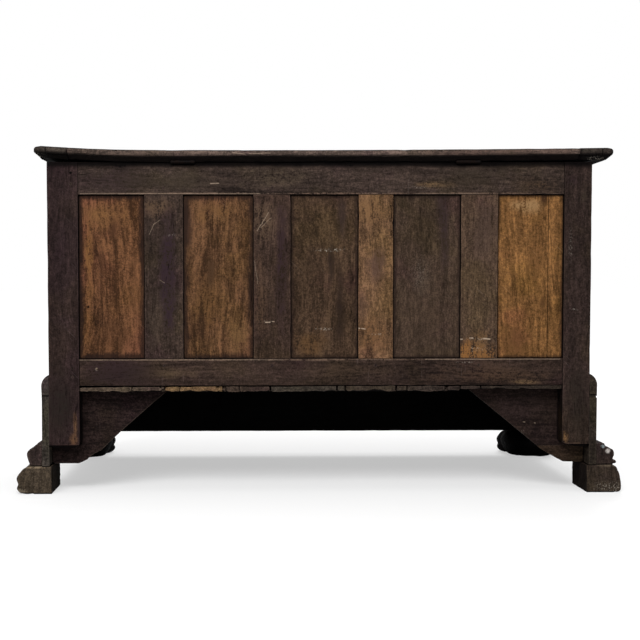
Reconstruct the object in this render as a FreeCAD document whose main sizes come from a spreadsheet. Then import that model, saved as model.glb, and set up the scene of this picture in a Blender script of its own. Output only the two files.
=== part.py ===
import FreeCAD, Part
import Sketcher
import math
import os

# Joined cassone: framed and panelled chest with a hinged lid, a moulded plinth and carved paw feet.
# Lengths are millimetres. +Z is up, the front faces -Y, and the origin is on the floor, centred.
# Left and right are named as seen from the front, so right is +X.

SIZES = (
    ("body_width", 1440, "carcass over the corner posts"),
    ("body_depth", 600, "carcass, back face to front face of the posts"),
    ("body_top", 880, "height of the seat that the lid closes on"),
    ("leg_bottom", 122, "height of the lower ends of the posts"),
    ("leg_chamfer", 9, "worn chamfer round the lower ends of the posts"),
    ("post_width_left", 72, "left posts, along the front"),
    ("post_width_right", 80.5, "right posts, along the front"),
    ("post_depth", 40, "posts, front to back"),
    ("member_thick", 30, "rails and muntins"),
    ("member_setback", 1.5, "rails and muntins stand back this far from the posts' faces"),
    ("top_rail_width", 85, "top rails, in height"),
    ("bottom_rail_width", 71, "bottom rails, in height"),
    ("back_muntin_width_first", 98, "leftmost back muntin"),
    ("back_muntin_width_second", 92, "second back muntin from the left"),
    ("back_muntin_width_third", 98, "third back muntin from the left"),
    ("back_muntin_width_fourth", 102, "rightmost back muntin"),
    ("front_muntin_width", 98, "front muntins"),
    ("side_muntin_width", 96, "side muntins"),
    ("groove_width", 9, "panel grooves and the tenons in line with them"),
    ("groove_depth", 11, "panel grooves"),
    ("groove_inset", 6, "from a member's outer face to its groove"),
    ("tenon_length", 34, "rail tenons"),
    ("side_tenon_length", 22, "side rail tenons, short of the back and front rails' tenons"),
    ("tenon_shoulder", 14, "rail tenons are held back this far from the rail's outer edge"),
    ("muntin_tenon", 26, "muntin tenons"),
    ("muntin_shoulder", 12, "muntin tenons are this much narrower on each edge"),
    ("joint_gap", 0.15, "side clearance of tenons and panel edges"),
    ("mortise_spare", 1, "mortises are this much deeper than their tenons"),
    ("panel_spare", 1.2, "room for a panel to swell at the bottom of its groove"),
    ("field_rise", 5, "raised field of a panel above its edges"),
    ("field_margin", 34, "from the visible edge of a panel to its raised field"),
    ("field_slope", 70, "slope of the field's bevel, degrees from upright"),
    ("lid_thick", 29.5, "lid boards"),
    ("lid_back_overhang", 14, "lid past the back of the posts"),
    ("lid_front_overhang", 44, "lid past the front of the posts"),
    ("lid_left_overhang", 48, "lid past the left posts"),
    ("lid_right_overhang", 29, "lid past the right posts"),
    ("lid_nose", 18, "upright part of the lid's moulded edge"),
    ("lid_nose_bulge", 1.8, "rounding of the lid's nose"),
    ("lid_bevel", 12, "undercut below the nose, measured inwards"),
    ("cleat_width", 86, "cross cleats at the ends of the lid"),
    ("bow_left", 6, "rise of the old lid's bow at its left end"),
    ("bow_right", 12, "rise of the old lid's bow at its right end"),
    ("tongue_length", 54, "tongue of the lid boards in the cleats"),
    ("tongue_thick", 9, "tongue of the lid boards"),
    ("hinge_length", 62, "hinge knuckles and leaves, along the lid"),
    ("knuckle_radius", 4.5, "hinge knuckles"),
    ("knuckle_gap", 0.3, "running gap of the knuckles"),
    ("pin_radius", 2.2, "hinge pins"),
    ("pin_clearance", 0.06, "radial clearance of the hinge pins"),
    ("pin_end", 1.6, "hinge pins past the ends of the knuckles"),
    ("leaf_thick", 2.4, "hinge leaves"),
    ("leaf_depth", 24, "hinge leaves, let into the rail and the lid"),
    ("lock_width", 96, "lock case"),
    ("lock_height", 62, "lock case"),
    ("lock_depth", 26, "lock case"),
    ("lock_top_gap", 2, "lock case below the lid's seat"),
    ("bolt_length", 46, "lock bolt"),
    ("bolt_height", 8, "lock bolt"),
    ("bolt_thick", 5, "lock bolt"),
    ("bolt_drop", 16, "top of the bolt below the lid's seat"),
    ("bolt_clearance", 0.3, "lock bolt in its channel"),
    ("bolt_travel", 14, "throw of the bolt"),
    ("staple_thick", 5, "lid staple, along the bolt"),
    ("staple_wall", 3.6, "legs and foot of the lid staple"),
    ("staple_room", 1.6, "room round the bolt in the staple, and round the staple in its slot"),
    ("staple_plate_length", 56, "plate of the lid staple"),
    ("staple_plate_width", 20, "plate of the lid staple"),
    ("plate_thick", 2, "staple plate and keyhole plate"),
    ("escutcheon_width", 52, "keyhole plate"),
    ("escutcheon_height", 68, "keyhole plate"),
    ("shield_bulge", 5.2, "curves of the keyhole plate's edges"),
    ("keyhole_radius", 4, "round part of the keyhole"),
    ("keyhole_drop", 16, "length of the keyhole's slot"),
    ("keyhole_slot", 4, "width of the keyhole's slot"),
    ("keyhole_low", 42, "centre of the keyhole below the lid's seat"),
    ("bottom_board_thick", 17, "bottom boards"),
    ("last_board_thick", 11, "thinner bottom board at the left end"),
    ("bottom_board_gap", 1.2, "between neighbouring bottom boards"),
    ("notch_gap", 0.6, "bottom boards round the posts"),
    ("board_end_setback", 2, "bottom boards' rough ends behind the back rail's face"),
    ("foot_height", 75, "paw block, up to the plinth"),
    ("plinth_thick", 20, "plinth boards"),
    ("plinth_height", 242, "plinth boards with their moulding"),
    ("ovolo_height", 33, "rounded top of the plinth"),
    ("ovolo_depth", 17, "rounded top of the plinth"),
    ("ovolo_bulge", 5.6, "rise of the rounded top over its chord"),
    ("plinth_lap", 28, "plinth's top above the bottom rails' lower edges"),
    ("quirk_drop", 60, "quirk below the plinth's top"),
    ("quirk_width", 5, "quirk in the plinth's face"),
    ("quirk_depth", 2.5, "quirk in the plinth's face"),
    ("bracket_thick", 22, "rear brackets"),
    ("bracket_reach", 313, "rear brackets, under the bottom boards"),
    ("bracket_toe", 74, "rear brackets, along their lower edge"),
    ("bracket_cyma", 34, "rear brackets, height of the curved end of the long slope"),
    ("bracket_cyma_rise", 4.2, "rear brackets, rounding of that curved end"),
    ("bracket_heel", 17, "rear brackets, lip at the end of the lower edge"),
    ("bracket_strip", 45, "lower board of the left bracket"),
    ("foot_inset", 25, "inner face of the rear feet behind the plinth's face"),
    ("foot_reach", 68, "paws past the plinth's face"),
    ("foot_depth", 120, "rear feet, front to back"),
    ("toe_width", 48, "one toe of a front paw"),
    ("toe_crown", 10, "height of a toe's arched top"),
    ("toe_drop", 2, "toes' tops below the plinth"),
    ("toe_knuckle", 4.5, "rounding of a toe's knuckle"),
    ("toe_claw", 16.5, "slope of a toe's claw, in from the notch under the knuckle"),
    ("toe_claw_bulge", 6.5, "rounding of a toe's claw"),
    ("toe_slope", 25, "slope from a toe's knuckle up to the ankle"),
    ("toe_root", 26, "where a front toe starts, from the heel's middle"),
    ("front_toe_reach", 95, "tip of a front toe, from the heel's middle"),
    ("heel_radius", 78, "bulbous heel of a front paw"),
    ("heel_floor_radius", 46, "front paw's heel on the floor"),
    ("scroll_height", 56, "ankle scroll above the paw"),
    ("scroll_reach", 46, "ankle scroll past the plinth's face"),
    ("scroll_run", 118, "ankle scroll along the plinth"),
    ("scroll_bulge", 14, "rounding of the ankle scroll's volute"),
    ("scroll_lip", 5, "rounding of the ankle scroll's upper edge"),
    ("knee_run", 71, "front ankle scroll along each plinth face"),
    ("overrun", 4, "cuts run this far past the faces that they open"),
)

# Places along a wall, as shares of half its width, from the left end to the right end.
back_muntin_shares = (-0.588, -0.206, 0.176, 0.574)
front_muntin_shares = (-0.315, 0.315)
hinge_shares = (-0.543, 0.503)
bottom_joint_shares = (-0.52, -0.324, -0.095, 0.183, 0.36, 0.573)
# Where the lid's two boards meet, as a share of its depth from the back.
lid_joint_share = 0.47
# The lid lies flat between these shares of half the carcass width, and bows upwards outside them.
lid_flat_shares = (0.14, 0.56)
# How far the bow leaves its chord, as a share of its rise.
bow_curve_share = 0.25
# Heights on a toe, as shares of the foot's height: top of the claw, top of the knuckle.
claw_top_share = 0.36
knuckle_top_share = 0.7
# The front heel's widest place, of the foot's height, and its neck, of its radius.
heel_widest_share = 0.66
heel_neck_share = 0.88
# The ankle scroll's volute and neck, as shares of its reach, and where they end, of its height.
volute_share = 0.76
neck_share = 0.44
volute_low_share = 0.16
neck_top_share = 0.84
# The keyhole plate's sides, of half its height, and its top edge, of half its width.
shield_side_share = 0.333
shield_top_share = 0.5
# Toes of a rear foot, and what the saw left of the last one, as a share of its width.
rear_toes = 3
sawn_toe_share = 0.5
# Directions of a front foot's toes, and the facets of its heel.
front_toe_degrees = (-135, -90, -45, 0, 45)
heel_sides = 12


class Size:
    """A length known as a number and as the sheet formula that it comes from."""

    def __init__(self, number, formula):
        self.number = float(number)
        self.formula = formula

    def joined(self, other, sign, result):
        other = as_size(other)
        return Size(result(self.number, other.number), f"({self.formula} {sign} {other.formula})")

    def __add__(self, other):
        return self.joined(other, "+", lambda one, two: one + two)

    def __sub__(self, other):
        return self.joined(other, "-", lambda one, two: one - two)

    def __mul__(self, other):
        return self.joined(other, "*", lambda one, two: one * two)

    def __truediv__(self, other):
        return self.joined(other, "/", lambda one, two: one / two)

    def __neg__(self):
        return Size(-self.number, f"(-1 * {self.formula})")

    def __radd__(self, other):
        return as_size(other) + self

    def __rsub__(self, other):
        return as_size(other) - self

    def __rmul__(self, other):
        return as_size(other) * self


def as_size(value):
    return value if isinstance(value, Size) else Size(value, repr(float(value)))


def root(size):
    return Size(math.sqrt(size.number), f"sqrt({size.formula})")


def write_sheet(document):
    """Put the driving sizes in a sheet and return them by name."""
    sheet = document.addObject("Spreadsheet::Sheet", "sizes")
    named = {}
    for row, (alias, number, note) in enumerate(SIZES, start=1):
        sheet.set(f"A{row}", alias)
        sheet.set(f"B{row}", str(number))
        sheet.set(f"C{row}", note)
        sheet.setAlias(f"B{row}", alias)
        named[alias] = Size(number, f"sizes.{alias}")
    document.recompute()
    return named


doc = FreeCAD.newDocument("cassone")
named = write_sheet(doc)
sub_parts = []

# Sizes worked out from the driving ones.
half_width = named["body_width"] / 2
front_reach = named["body_depth"] + named["plinth_thick"] + named["foot_reach"]
back_y = (front_reach - named["lid_back_overhang"] - named["lid_nose_bulge"]) / 2
front_y = back_y - named["body_depth"]
seat = named["body_top"]
plinth_low = named["foot_height"]
plinth_top = plinth_low + named["plinth_height"]
rail_low = plinth_top - named["plinth_lap"]
opening_low = rail_low + named["bottom_rail_width"]
opening_high = seat - named["top_rail_width"]
overrun = named["overrun"]
gap = named["joint_gap"]
groove_start = named["member_setback"] + named["groove_inset"]
groove_end = groove_start + named["groove_width"]
member_back = named["member_setback"] + named["member_thick"]
plinth_x = half_width + named["plinth_thick"]
plinth_front = front_y - named["plinth_thick"]
boards_low = rail_low - named["bottom_board_thick"]


def bind(thing, **formulas):
    """Tie properties of an object to sizes; an underscore in a name stands for a dot."""
    for name, size in formulas.items():
        thing.setExpression(name.replace("_", "."), as_size(size).formula)


def finish(thing, label):
    """Name an object as one of the sub-parts."""
    thing.Label = label
    sub_parts.append(thing)
    return thing


def block(x_from, x_to, y_from, y_to, z_from, z_to):
    """Rectangular block between named planes."""
    box = doc.addObject("Part::Box", "block")
    bind(box, Length=x_to - x_from, Width=y_to - y_from, Height=z_to - z_from)
    bind(box, Placement_Base_x=x_from, Placement_Base_y=y_from, Placement_Base_z=z_from)
    return box


def fused(solids):
    """One shape of several; a single one stays as it is."""
    if len(solids) == 1:
        return solids[0]
    whole = doc.addObject("Part::MultiFuse", "fused")
    whole.Shapes = solids
    whole.Refine = True
    return whole


def carve(solids, hollows=()):
    """Join the solids and take the hollows away."""
    whole = fused(list(solids))
    if not hollows:
        return whole
    result = doc.addObject("Part::Cut", "carved")
    result.Base = whole
    result.Tool = fused(list(hollows))
    return result


def shared(first, second):
    """What two shapes have in common."""
    both = doc.addObject("Part::Common", "shared")
    both.Base = first
    both.Tool = second
    return both


def rod(radius, x_from, x_to, y, z):
    """Round rod along X."""
    cylinder = doc.addObject("Part::Cylinder", "rod")
    bind(cylinder, Radius=radius, Height=x_to - x_from)
    cylinder.Placement = FreeCAD.Placement(FreeCAD.Vector(), FreeCAD.Rotation(FreeCAD.Vector(0, 1, 0), 90))
    bind(cylinder, Placement_Base_x=x_from, Placement_Base_y=y, Placement_Base_z=z)
    return cylinder


def mirrored(thing):
    """Copy on the other side of the chest's middle plane."""
    copy = doc.addObject("Part::Mirroring", "mirrored")
    copy.Source = thing
    copy.Normal = (1, 0, 0)
    return copy


def turned(thing, degrees, x, y):
    """Wrap a shape so that it can be turned about an upright axis and moved to its place."""
    group = doc.addObject("Part::Compound", "turned")
    group.Links = [thing]
    rotation = FreeCAD.Rotation(FreeCAD.Vector(0, 0, 1), degrees)
    group.Placement = FreeCAD.Placement(FreeCAD.Vector(), rotation)
    bind(group, Placement_Base_x=x, Placement_Base_y=y)
    return group


def draw_edge(sketch, start, end, rise):
    """Line, or an arc that rises to the left of it; returns the edge and its start and end vertices."""
    first = FreeCAD.Vector(start[0].number, start[1].number, 0)
    last = FreeCAD.Vector(end[0].number, end[1].number, 0)
    if rise is None:
        edge = sketch.addGeometry(Part.LineSegment(first, last), False)
        return edge, 1, 2
    chord = last - first
    across = FreeCAD.Vector(-chord.y, chord.x, 0).normalize()
    middle = (first + last) * 0.5 + across * rise.number
    clockwise = rise.number > 0
    arc = Part.Arc(last, middle, first) if clockwise else Part.Arc(first, middle, last)
    edge = sketch.addGeometry(arc, False)
    width, height = end[0] - start[0], end[1] - start[1]
    chord_squared = width * width + height * height
    magnitude = rise if clockwise else -rise
    radius = (chord_squared / 4 + magnitude * magnitude) / (2 * magnitude)
    number = sketch.addConstraint(Sketcher.Constraint("Radius", edge, radius.number))
    sketch.setExpression(f"Constraints[{number}]", radius.formula)
    return (edge, 2, 1) if clockwise else (edge, 1, 2)


def draw_outline(sketch, corners, closed=True):
    """Outline or open path. A corner is (across, up) or, where an arc starts, (across, up, rise)."""
    points = [tuple(as_size(value) for value in corner) for corner in corners]
    following = points[1:] + (points[:1] if closed else [])
    edges = []
    for point, target in zip(points, following):
        rise = point[2] if len(point) == 3 else None
        edges.append(draw_edge(sketch, point, target, rise))
    ends = [(edge, start) for edge, start, _ in edges]
    if not closed:
        ends.append((edges[-1][0], edges[-1][2]))
    next_ends = ends[1:] + ends[:1] if closed else ends[1:-1]
    for (edge, _, end), (next_edge, next_start) in zip(edges, next_ends):
        sketch.addConstraint(Sketcher.Constraint("Coincident", edge, end, next_edge, next_start))
    for point, (edge, vertex) in zip(points, ends):
        for kind, size in zip(("DistanceX", "DistanceY"), point):
            number = sketch.addConstraint(Sketcher.Constraint(kind, -1, 1, edge, vertex, size.number))
            sketch.setExpression(f"Constraints[{number}]", size.formula)


def outline_sketch(body, plane, corners, place, closed=True):
    """Sketch on one of the body's main planes, moved along the plane's normal."""
    sketch = body.newObject("Sketcher::SketchObject", "outline")
    support = [feature for feature in body.Origin.OriginFeatures if feature.Role == plane]
    sketch.AttachmentSupport = [(support[0], "")]
    sketch.MapMode = "FlatFace"
    bind(sketch, AttachmentOffset_Base_z=place)
    draw_outline(sketch, corners, closed)
    return sketch


def new_body():
    return doc.addObject("PartDesign::Body", "body")


def add_pad(body, plane, corners, start, stop):
    """Pad an outline from start to stop along X, Y or Z. On XZ_Plane the normal points to -Y."""
    place = -as_size(stop) if plane == "XZ_Plane" else as_size(start)
    sketch = outline_sketch(body, plane, corners, place)
    pad = body.newObject("PartDesign::Pad", "pad")
    pad.Profile = sketch
    bind(pad, Length=as_size(stop) - start)
    return pad


def add_pocket(body, plane, corners, start, stop):
    """Take an outline away from start to stop along X, Y or Z."""
    place = -as_size(stop) if plane == "XZ_Plane" else as_size(start)
    sketch = outline_sketch(body, plane, corners, place)
    doc.recompute()
    before = body.Shape.Volume
    pocket = body.newObject("PartDesign::Pocket", "pocket")
    pocket.Profile = sketch
    pocket.Reversed = True
    bind(pocket, Length=as_size(stop) - start)
    doc.recompute()
    if not body.Shape.Volume < before:
        raise RuntimeError(f"a pocket in {body.Name} cuts nothing")
    return pocket


def padded(plane, corners, start, stop):
    """Body of one padded outline."""
    body = new_body()
    add_pad(body, plane, corners, start, stop)
    return body


def rectangle(left, right, low, high):
    return ((left, low), (right, low), (right, high), (left, high))


class Wall:
    """One framed side. Places are given along it, inwards from the posts' outer face, and up."""

    def __init__(self, title, along_x, face, inward, start, stop, muntins):
        self.title = title
        self.along_x = along_x
        self.face = face
        self.inward = inward
        self.start = start
        self.stop = stop
        self.muntins = muntins

    def across(self, near, far):
        """Coordinates of two depths behind the outer face, in rising order."""
        if self.inward > 0:
            return self.face + near, self.face + far
        return self.face - far, self.face - near

    def block(self, along_from, along_to, near, far, low, high):
        depth_from, depth_to = self.across(as_size(near), as_size(far))
        if self.along_x:
            return block(along_from, along_to, depth_from, depth_to, low, high)
        return block(depth_from, depth_to, along_from, along_to, low, high)

    def rail(self, low, high, groove_on_top, tenon):
        """Rail with a tenon at each end, a panel groove and a mortise for each muntin."""
        edge_low = low + (named["tenon_shoulder"] if groove_on_top else named["groove_depth"])
        edge_high = high - (named["groove_depth"] if groove_on_top else named["tenon_shoulder"])
        solids = [self.block(self.start, self.stop, named["member_setback"], member_back, low, high)]
        solids.append(self.block(self.start - tenon, self.stop + tenon,
                                 groove_start + gap, groove_end - gap, edge_low, edge_high))
        groove_low = high - named["groove_depth"] if groove_on_top else low - overrun
        groove_high = high + overrun if groove_on_top else low + named["groove_depth"]
        hollows = [self.block(self.start - overrun, self.stop + overrun,
                              groove_start, groove_end, groove_low, groove_high)]
        depth = named["muntin_tenon"] + named["mortise_spare"]
        for centre, width in self.muntins:
            half = width / 2 - named["muntin_shoulder"] + gap
            mortise_low = high - depth if groove_on_top else low - overrun
            mortise_high = high + overrun if groove_on_top else low + depth
            hollows.append(self.block(centre - half, centre + half, groove_start, groove_end,
                                      mortise_low, mortise_high))
        return carve(solids, hollows)

    def muntin(self, label, centre, width):
        """Upright between the rails, with a tenon at each end and a groove along each edge."""
        left, right = centre - width / 2, centre + width / 2
        tenon = named["muntin_tenon"]
        solids = [self.block(left, right, named["member_setback"], member_back, opening_low, opening_high)]
        solids.append(self.block(left + named["muntin_shoulder"], right - named["muntin_shoulder"],
                                 groove_start + gap, groove_end - gap,
                                 opening_low - tenon, opening_high + tenon))
        hollows = []
        for edge_from, edge_to in ((left - overrun, left + named["groove_depth"]),
                                   (right - named["groove_depth"], right + overrun)):
            hollows.append(self.block(edge_from, edge_to, groove_start, groove_end,
                                      opening_low - overrun, opening_high + overrun))
        finish(carve(solids, hollows), label)

    def panel(self, label, left, right, field_outside):
        """Panel whose thin edges sit in the grooves; its bevelled field is raised on one side."""
        reach = named["groove_depth"] - named["panel_spare"]
        near, far = self.across(groove_start + gap, groove_end - gap)
        field_near = groove_start + gap if field_outside else groove_end - gap
        field_at, _ = self.across(field_near, field_near)
        raised_up = (self.inward > 0) != field_outside
        plane = "XZ_Plane" if self.along_x else "YZ_Plane"
        body = new_body()
        edges = rectangle(left - reach, right + reach, opening_low - reach, opening_high + reach)
        add_pad(body, plane, edges, near, far)
        margin = named["field_margin"]
        corners = rectangle(left + margin, right - margin, opening_low + margin, opening_high - margin)
        field = add_pad(body, plane, corners, field_at, field_at + named["field_rise"])
        bind(field.Profile[0], AttachmentOffset_Base_z=-field_at if self.along_x else field_at)
        field.Reversed = raised_up == self.along_x
        bind(field, TaperAngle=-named["field_slope"])
        finish(body, label)

    def openings(self):
        """Left and right edges of the spaces between posts and muntins."""
        edges = [self.start]
        for centre, width in self.muntins:
            edges += [centre - width / 2, centre + width / 2]
        edges.append(self.stop)
        return list(zip(edges[0::2], edges[1::2]))


def wall_muntins(middle, half, shares, widths):
    return [(middle + half * share, width) for share, width in zip(shares, widths)]


post_left_inner = -half_width + named["post_width_left"]
post_right_inner = half_width - named["post_width_right"]
back_post_front = back_y - named["post_depth"]
front_post_back = front_y + named["post_depth"]
middle_y = (back_y + front_y) / 2

back_widths = [named[f"back_muntin_width_{order}"] for order in ("first", "second", "third", "fourth")]
back = Wall("back", True, back_y, -1, post_left_inner, post_right_inner,
            wall_muntins(as_size(0), half_width, back_muntin_shares, back_widths))
front = Wall("front", True, front_y, 1, post_left_inner, post_right_inner,
             wall_muntins(as_size(0), half_width, front_muntin_shares, [named["front_muntin_width"]] * 2))
left = Wall("left", False, -half_width, 1, front_post_back, back_post_front,
            [(middle_y, named["side_muntin_width"])])
right = Wall("right", False, half_width, -1, front_post_back, back_post_front,
             [(middle_y, named["side_muntin_width"])])


def mortises(wall, at_start, tenon):
    """Hollows in a post for the two rails of a wall and for the panel between them."""
    edge = wall.start if at_start else wall.stop
    inwards = edge - tenon - named["mortise_spare"], edge + overrun
    if not at_start:
        inwards = edge - overrun, edge + tenon + named["mortise_spare"]
    groove = (edge - named["groove_depth"], edge + overrun)
    if not at_start:
        groove = (edge - overrun, edge + named["groove_depth"])
    hollows = [wall.block(*groove, groove_start, groove_end,
                          opening_low - named["groove_depth"], opening_high + named["groove_depth"])]
    for low, high in ((rail_low + named["tenon_shoulder"] - gap, opening_low - named["groove_depth"] + gap),
                      (opening_high + named["groove_depth"] - gap, seat - named["tenon_shoulder"] + gap)):
        hollows.append(wall.block(*inwards, groove_start, groove_end, low, high))
    return hollows


def chamfered_leg(x_from, x_to, y_from, y_to):
    """Post whose lower end is chamfered all round."""
    post = block(x_from, x_to, y_from, y_to, named["leg_bottom"], seat)
    doc.recompute()
    low_edges = []
    for number, edge in enumerate(post.Shape.Edges, start=1):
        if abs(edge.BoundBox.ZMax - named["leg_bottom"].number) < named["joint_gap"].number:
            low_edges.append((number, named["leg_chamfer"].number, named["leg_chamfer"].number))
    worn = doc.addObject("Part::Chamfer", "worn")
    worn.Base = post
    worn.Edges = low_edges
    return worn


def make_posts():
    for wall, label in ((back, "back"), (front, "front")):
        y_from, y_to = wall.across(as_size(0), named["post_depth"])
        for side, at_start in ((left, True), (right, False)):
            x_from = -half_width if at_start else post_right_inner
            x_to = post_left_inner if at_start else half_width
            hollows = mortises(wall, at_start, named["tenon_length"])
            hollows += mortises(side, wall is front, named["side_tenon_length"])
            post = carve([chamfered_leg(x_from, x_to, y_from, y_to)], hollows)
            finish(post, f"{label}_post_{side.title}")


def hinge_leaf_room(centre, low, high):
    """Recess for a hinge leaf, open towards the back."""
    half = named["hinge_length"] / 2 + named["knuckle_gap"]
    face = back_y - named["member_setback"]
    return block(centre - half, centre + half, face - named["leaf_depth"] - named["knuckle_gap"],
                 face + overrun, low, high)


def hinge_centres():
    return [half_width * share for share in hinge_shares]


def make_frames():
    for wall in (back, front, left, right):
        tenon = named["tenon_length"] if wall.along_x else named["side_tenon_length"]
        top = wall.rail(opening_high, seat, False, tenon)
        bottom = wall.rail(rail_low, opening_low, True, tenon)
        if wall is back:
            rooms = [hinge_leaf_room(centre, seat - named["leaf_thick"], seat + overrun)
                     for centre in hinge_centres()]
            top = carve([top], rooms)
        if wall is front:
            top = carve([top], keyhole(front_y - overrun, front_y + member_back + overrun))
        finish(top, f"{wall.title}_top_rail")
        finish(bottom, f"{wall.title}_bottom_rail")
        for number, (centre, width) in enumerate(wall.muntins, start=1):
            suffix = f"_{number}" if len(wall.muntins) > 1 else ""
            wall.muntin(f"{wall.title}_muntin{suffix}", centre, width)
        for number, (left_edge, right_edge) in enumerate(wall.openings(), start=1):
            wall.panel(f"{wall.title}_panel_{number}", left_edge, right_edge, wall is not back)


def make_bottom_boards():
    """Boards from front to back, nailed up under the bottom rails and notched round the posts."""
    edges = [-half_width + gap] + [half_width * share for share in bottom_joint_shares] + [half_width - gap]
    y_from = front_y + gap
    y_to = back_y - named["member_setback"] - named["board_end_setback"]
    half_gap = named["bottom_board_gap"] / 2
    for number, (x_from, x_to) in enumerate(zip(edges, edges[1:]), start=1):
        first, last = number == 1, number == len(edges) - 1
        thick = named["last_board_thick"] if first else named["bottom_board_thick"]
        board = block(x_from if first else x_from + half_gap, x_to if last else x_to - half_gap,
                      y_from, y_to, rail_low - thick, rail_low)
        notches = []
        if first or last:
            notch = named["notch_gap"]
            notch_from = -half_width - overrun if first else post_right_inner - notch
            notch_to = post_left_inner + notch if first else half_width + overrun
            for low_y, high_y in ((front_y - overrun, front_post_back + notch),
                                  (back_post_front - notch, back_y + overrun)):
                notches.append(block(notch_from, notch_to, low_y, high_y, boards_low - overrun,
                                     rail_low + overrun))
        finish(carve([board], notches), f"bottom_board_{number}")


lid_back = back_y + named["lid_back_overhang"]
lid_front = front_y - named["lid_front_overhang"]
lid_left = -half_width - named["lid_left_overhang"]
lid_right = half_width + named["lid_right_overhang"]
lid_top = seat + named["lid_thick"]
nose_low = lid_top - named["lid_nose"]
flat_left, flat_right = [half_width * share for share in lid_flat_shares]
tongue_low = seat + (named["lid_thick"] - named["tongue_thick"]) / 2
tongue_high = tongue_low + named["tongue_thick"]


def bowed(section):
    """Upright section that follows the bow of the old lid from end to end."""
    body = new_body()
    profile = outline_sketch(body, "YZ_Plane", section, flat_left)
    to_right = ((flat_left, seat), (flat_right, seat, -named["bow_right"] * bow_curve_share),
                (lid_right + named["lid_nose_bulge"], seat + named["bow_right"]))
    to_left = ((flat_left, seat, named["bow_left"] * bow_curve_share),
               (lid_left - named["lid_nose_bulge"], seat + named["bow_left"]))
    for path in (to_right, to_left):
        spine = outline_sketch(body, "XZ_Plane", path, as_size(0), closed=False)
        pipe = body.newObject("PartDesign::AdditivePipe", "pipe")
        pipe.Profile = profile
        pipe.Spine = (spine, [f"Edge{number}" for number in range(1, len(path))])
    return body


def stretch(shape, x_from, x_to):
    """The stretch of a lid shape between two places along the lid."""
    roof = lid_top + named["bow_left"] + named["bow_right"]
    return shared(shape, block(x_from, x_to, lid_front - overrun, lid_back + overrun, seat - overrun, roof))


def make_lid():
    """Two boards with moulded long edges and a moulded cleat across each end."""
    inner_left, inner_right = lid_left + named["cleat_width"], lid_right - named["cleat_width"]
    seam = lid_back - (lid_back - lid_front) * lid_joint_share
    bulge, bevel = named["lid_nose_bulge"], named["lid_bevel"]
    back_edge = ((lid_back - bevel, seat), (lid_back, nose_low, -bulge), (lid_back, lid_top))
    front_edge = ((lid_front, lid_top, -bulge), (lid_front, nose_low), (lid_front + bevel, seat))
    back_board = ((seam + gap, seat),) + back_edge + ((seam + gap, lid_top),)
    front_board = front_edge + ((seam - gap, seat), (seam - gap, lid_top))
    boards = (("lid_board_back", back_board, seam + gap, lid_back - bevel, hinge_rooms),
              ("lid_board_front", front_board, lid_front + bevel, seam - gap, staple_rooms))
    tongue_reach = named["tongue_length"]
    for label, section, tongue_from, tongue_to, rooms in boards:
        board = stretch(bowed(section), inner_left, inner_right)
        tongue = stretch(bowed(rectangle(tongue_from, tongue_to, tongue_low, tongue_high)),
                         inner_left - tongue_reach, inner_right + tongue_reach)
        finish(carve([board, tongue], rooms()), label)
    whole = bowed(back_edge + front_edge)
    room = bowed(rectangle(lid_front, lid_back, tongue_low - gap, tongue_high + gap))
    make_cleat("lid_cleat_left", whole, room, lid_left, inner_left, 1, named["bow_left"])
    make_cleat("lid_cleat_right", whole, room, lid_right, inner_right, -1, named["bow_right"])


def make_cleat(label, whole, room, tip, inner, inwards, rise):
    """Cleat across the lid's end, moulded at its tip and grooved for the boards' tongues."""
    shoulder = inner - inwards * gap
    tip_low = seat - overrun
    roof = lid_top + 2 * rise
    bevel, bulge = named["lid_bevel"], named["lid_nose_bulge"]
    end_view = ((shoulder, tip_low), (tip + inwards * bevel, tip_low), (tip + inwards * bevel, seat + rise),
                (tip, nose_low + rise, bulge * inwards), (tip, lid_top + rise), (tip, roof), (shoulder, roof))
    limits = padded("XZ_Plane", end_view, lid_front - overrun, lid_back + overrun)
    room_end = inner - inwards * (named["tongue_length"] + gap)
    x_from, x_to = (room_end, inner + overrun) if inwards > 0 else (inner - overrun, room_end)
    finish(carve([shared(whole, limits)], [stretch(room, x_from, x_to)]), label)


def hinge_axis_y():
    return back_y - named["member_setback"] + named["knuckle_radius"] + named["knuckle_gap"]


def hinge_rooms():
    """Hollows in the lid's back board for the hinge leaves and the swing of the knuckles."""
    rooms = []
    sweep = named["knuckle_radius"] + 2 * named["knuckle_gap"]
    for centre in hinge_centres():
        half = named["hinge_length"] / 2 + named["pin_end"] + named["knuckle_gap"]
        rooms.append(hinge_leaf_room(centre, seat - overrun, seat + named["leaf_thick"]))
        rooms.append(rod(sweep, centre - half, centre + half, hinge_axis_y(), seat))
    return rooms


def staple_rooms():
    """Recess in the lid's front board for the plate of the staple."""
    half_length = named["staple_plate_length"] / 2 + gap
    half_plate = named["staple_plate_width"] / 2 + gap
    return [block(staple_middle - half_length, staple_middle + half_length, lock_y - half_plate,
                  lock_y + half_plate, seat - overrun, seat + named["plate_thick"])]


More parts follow.
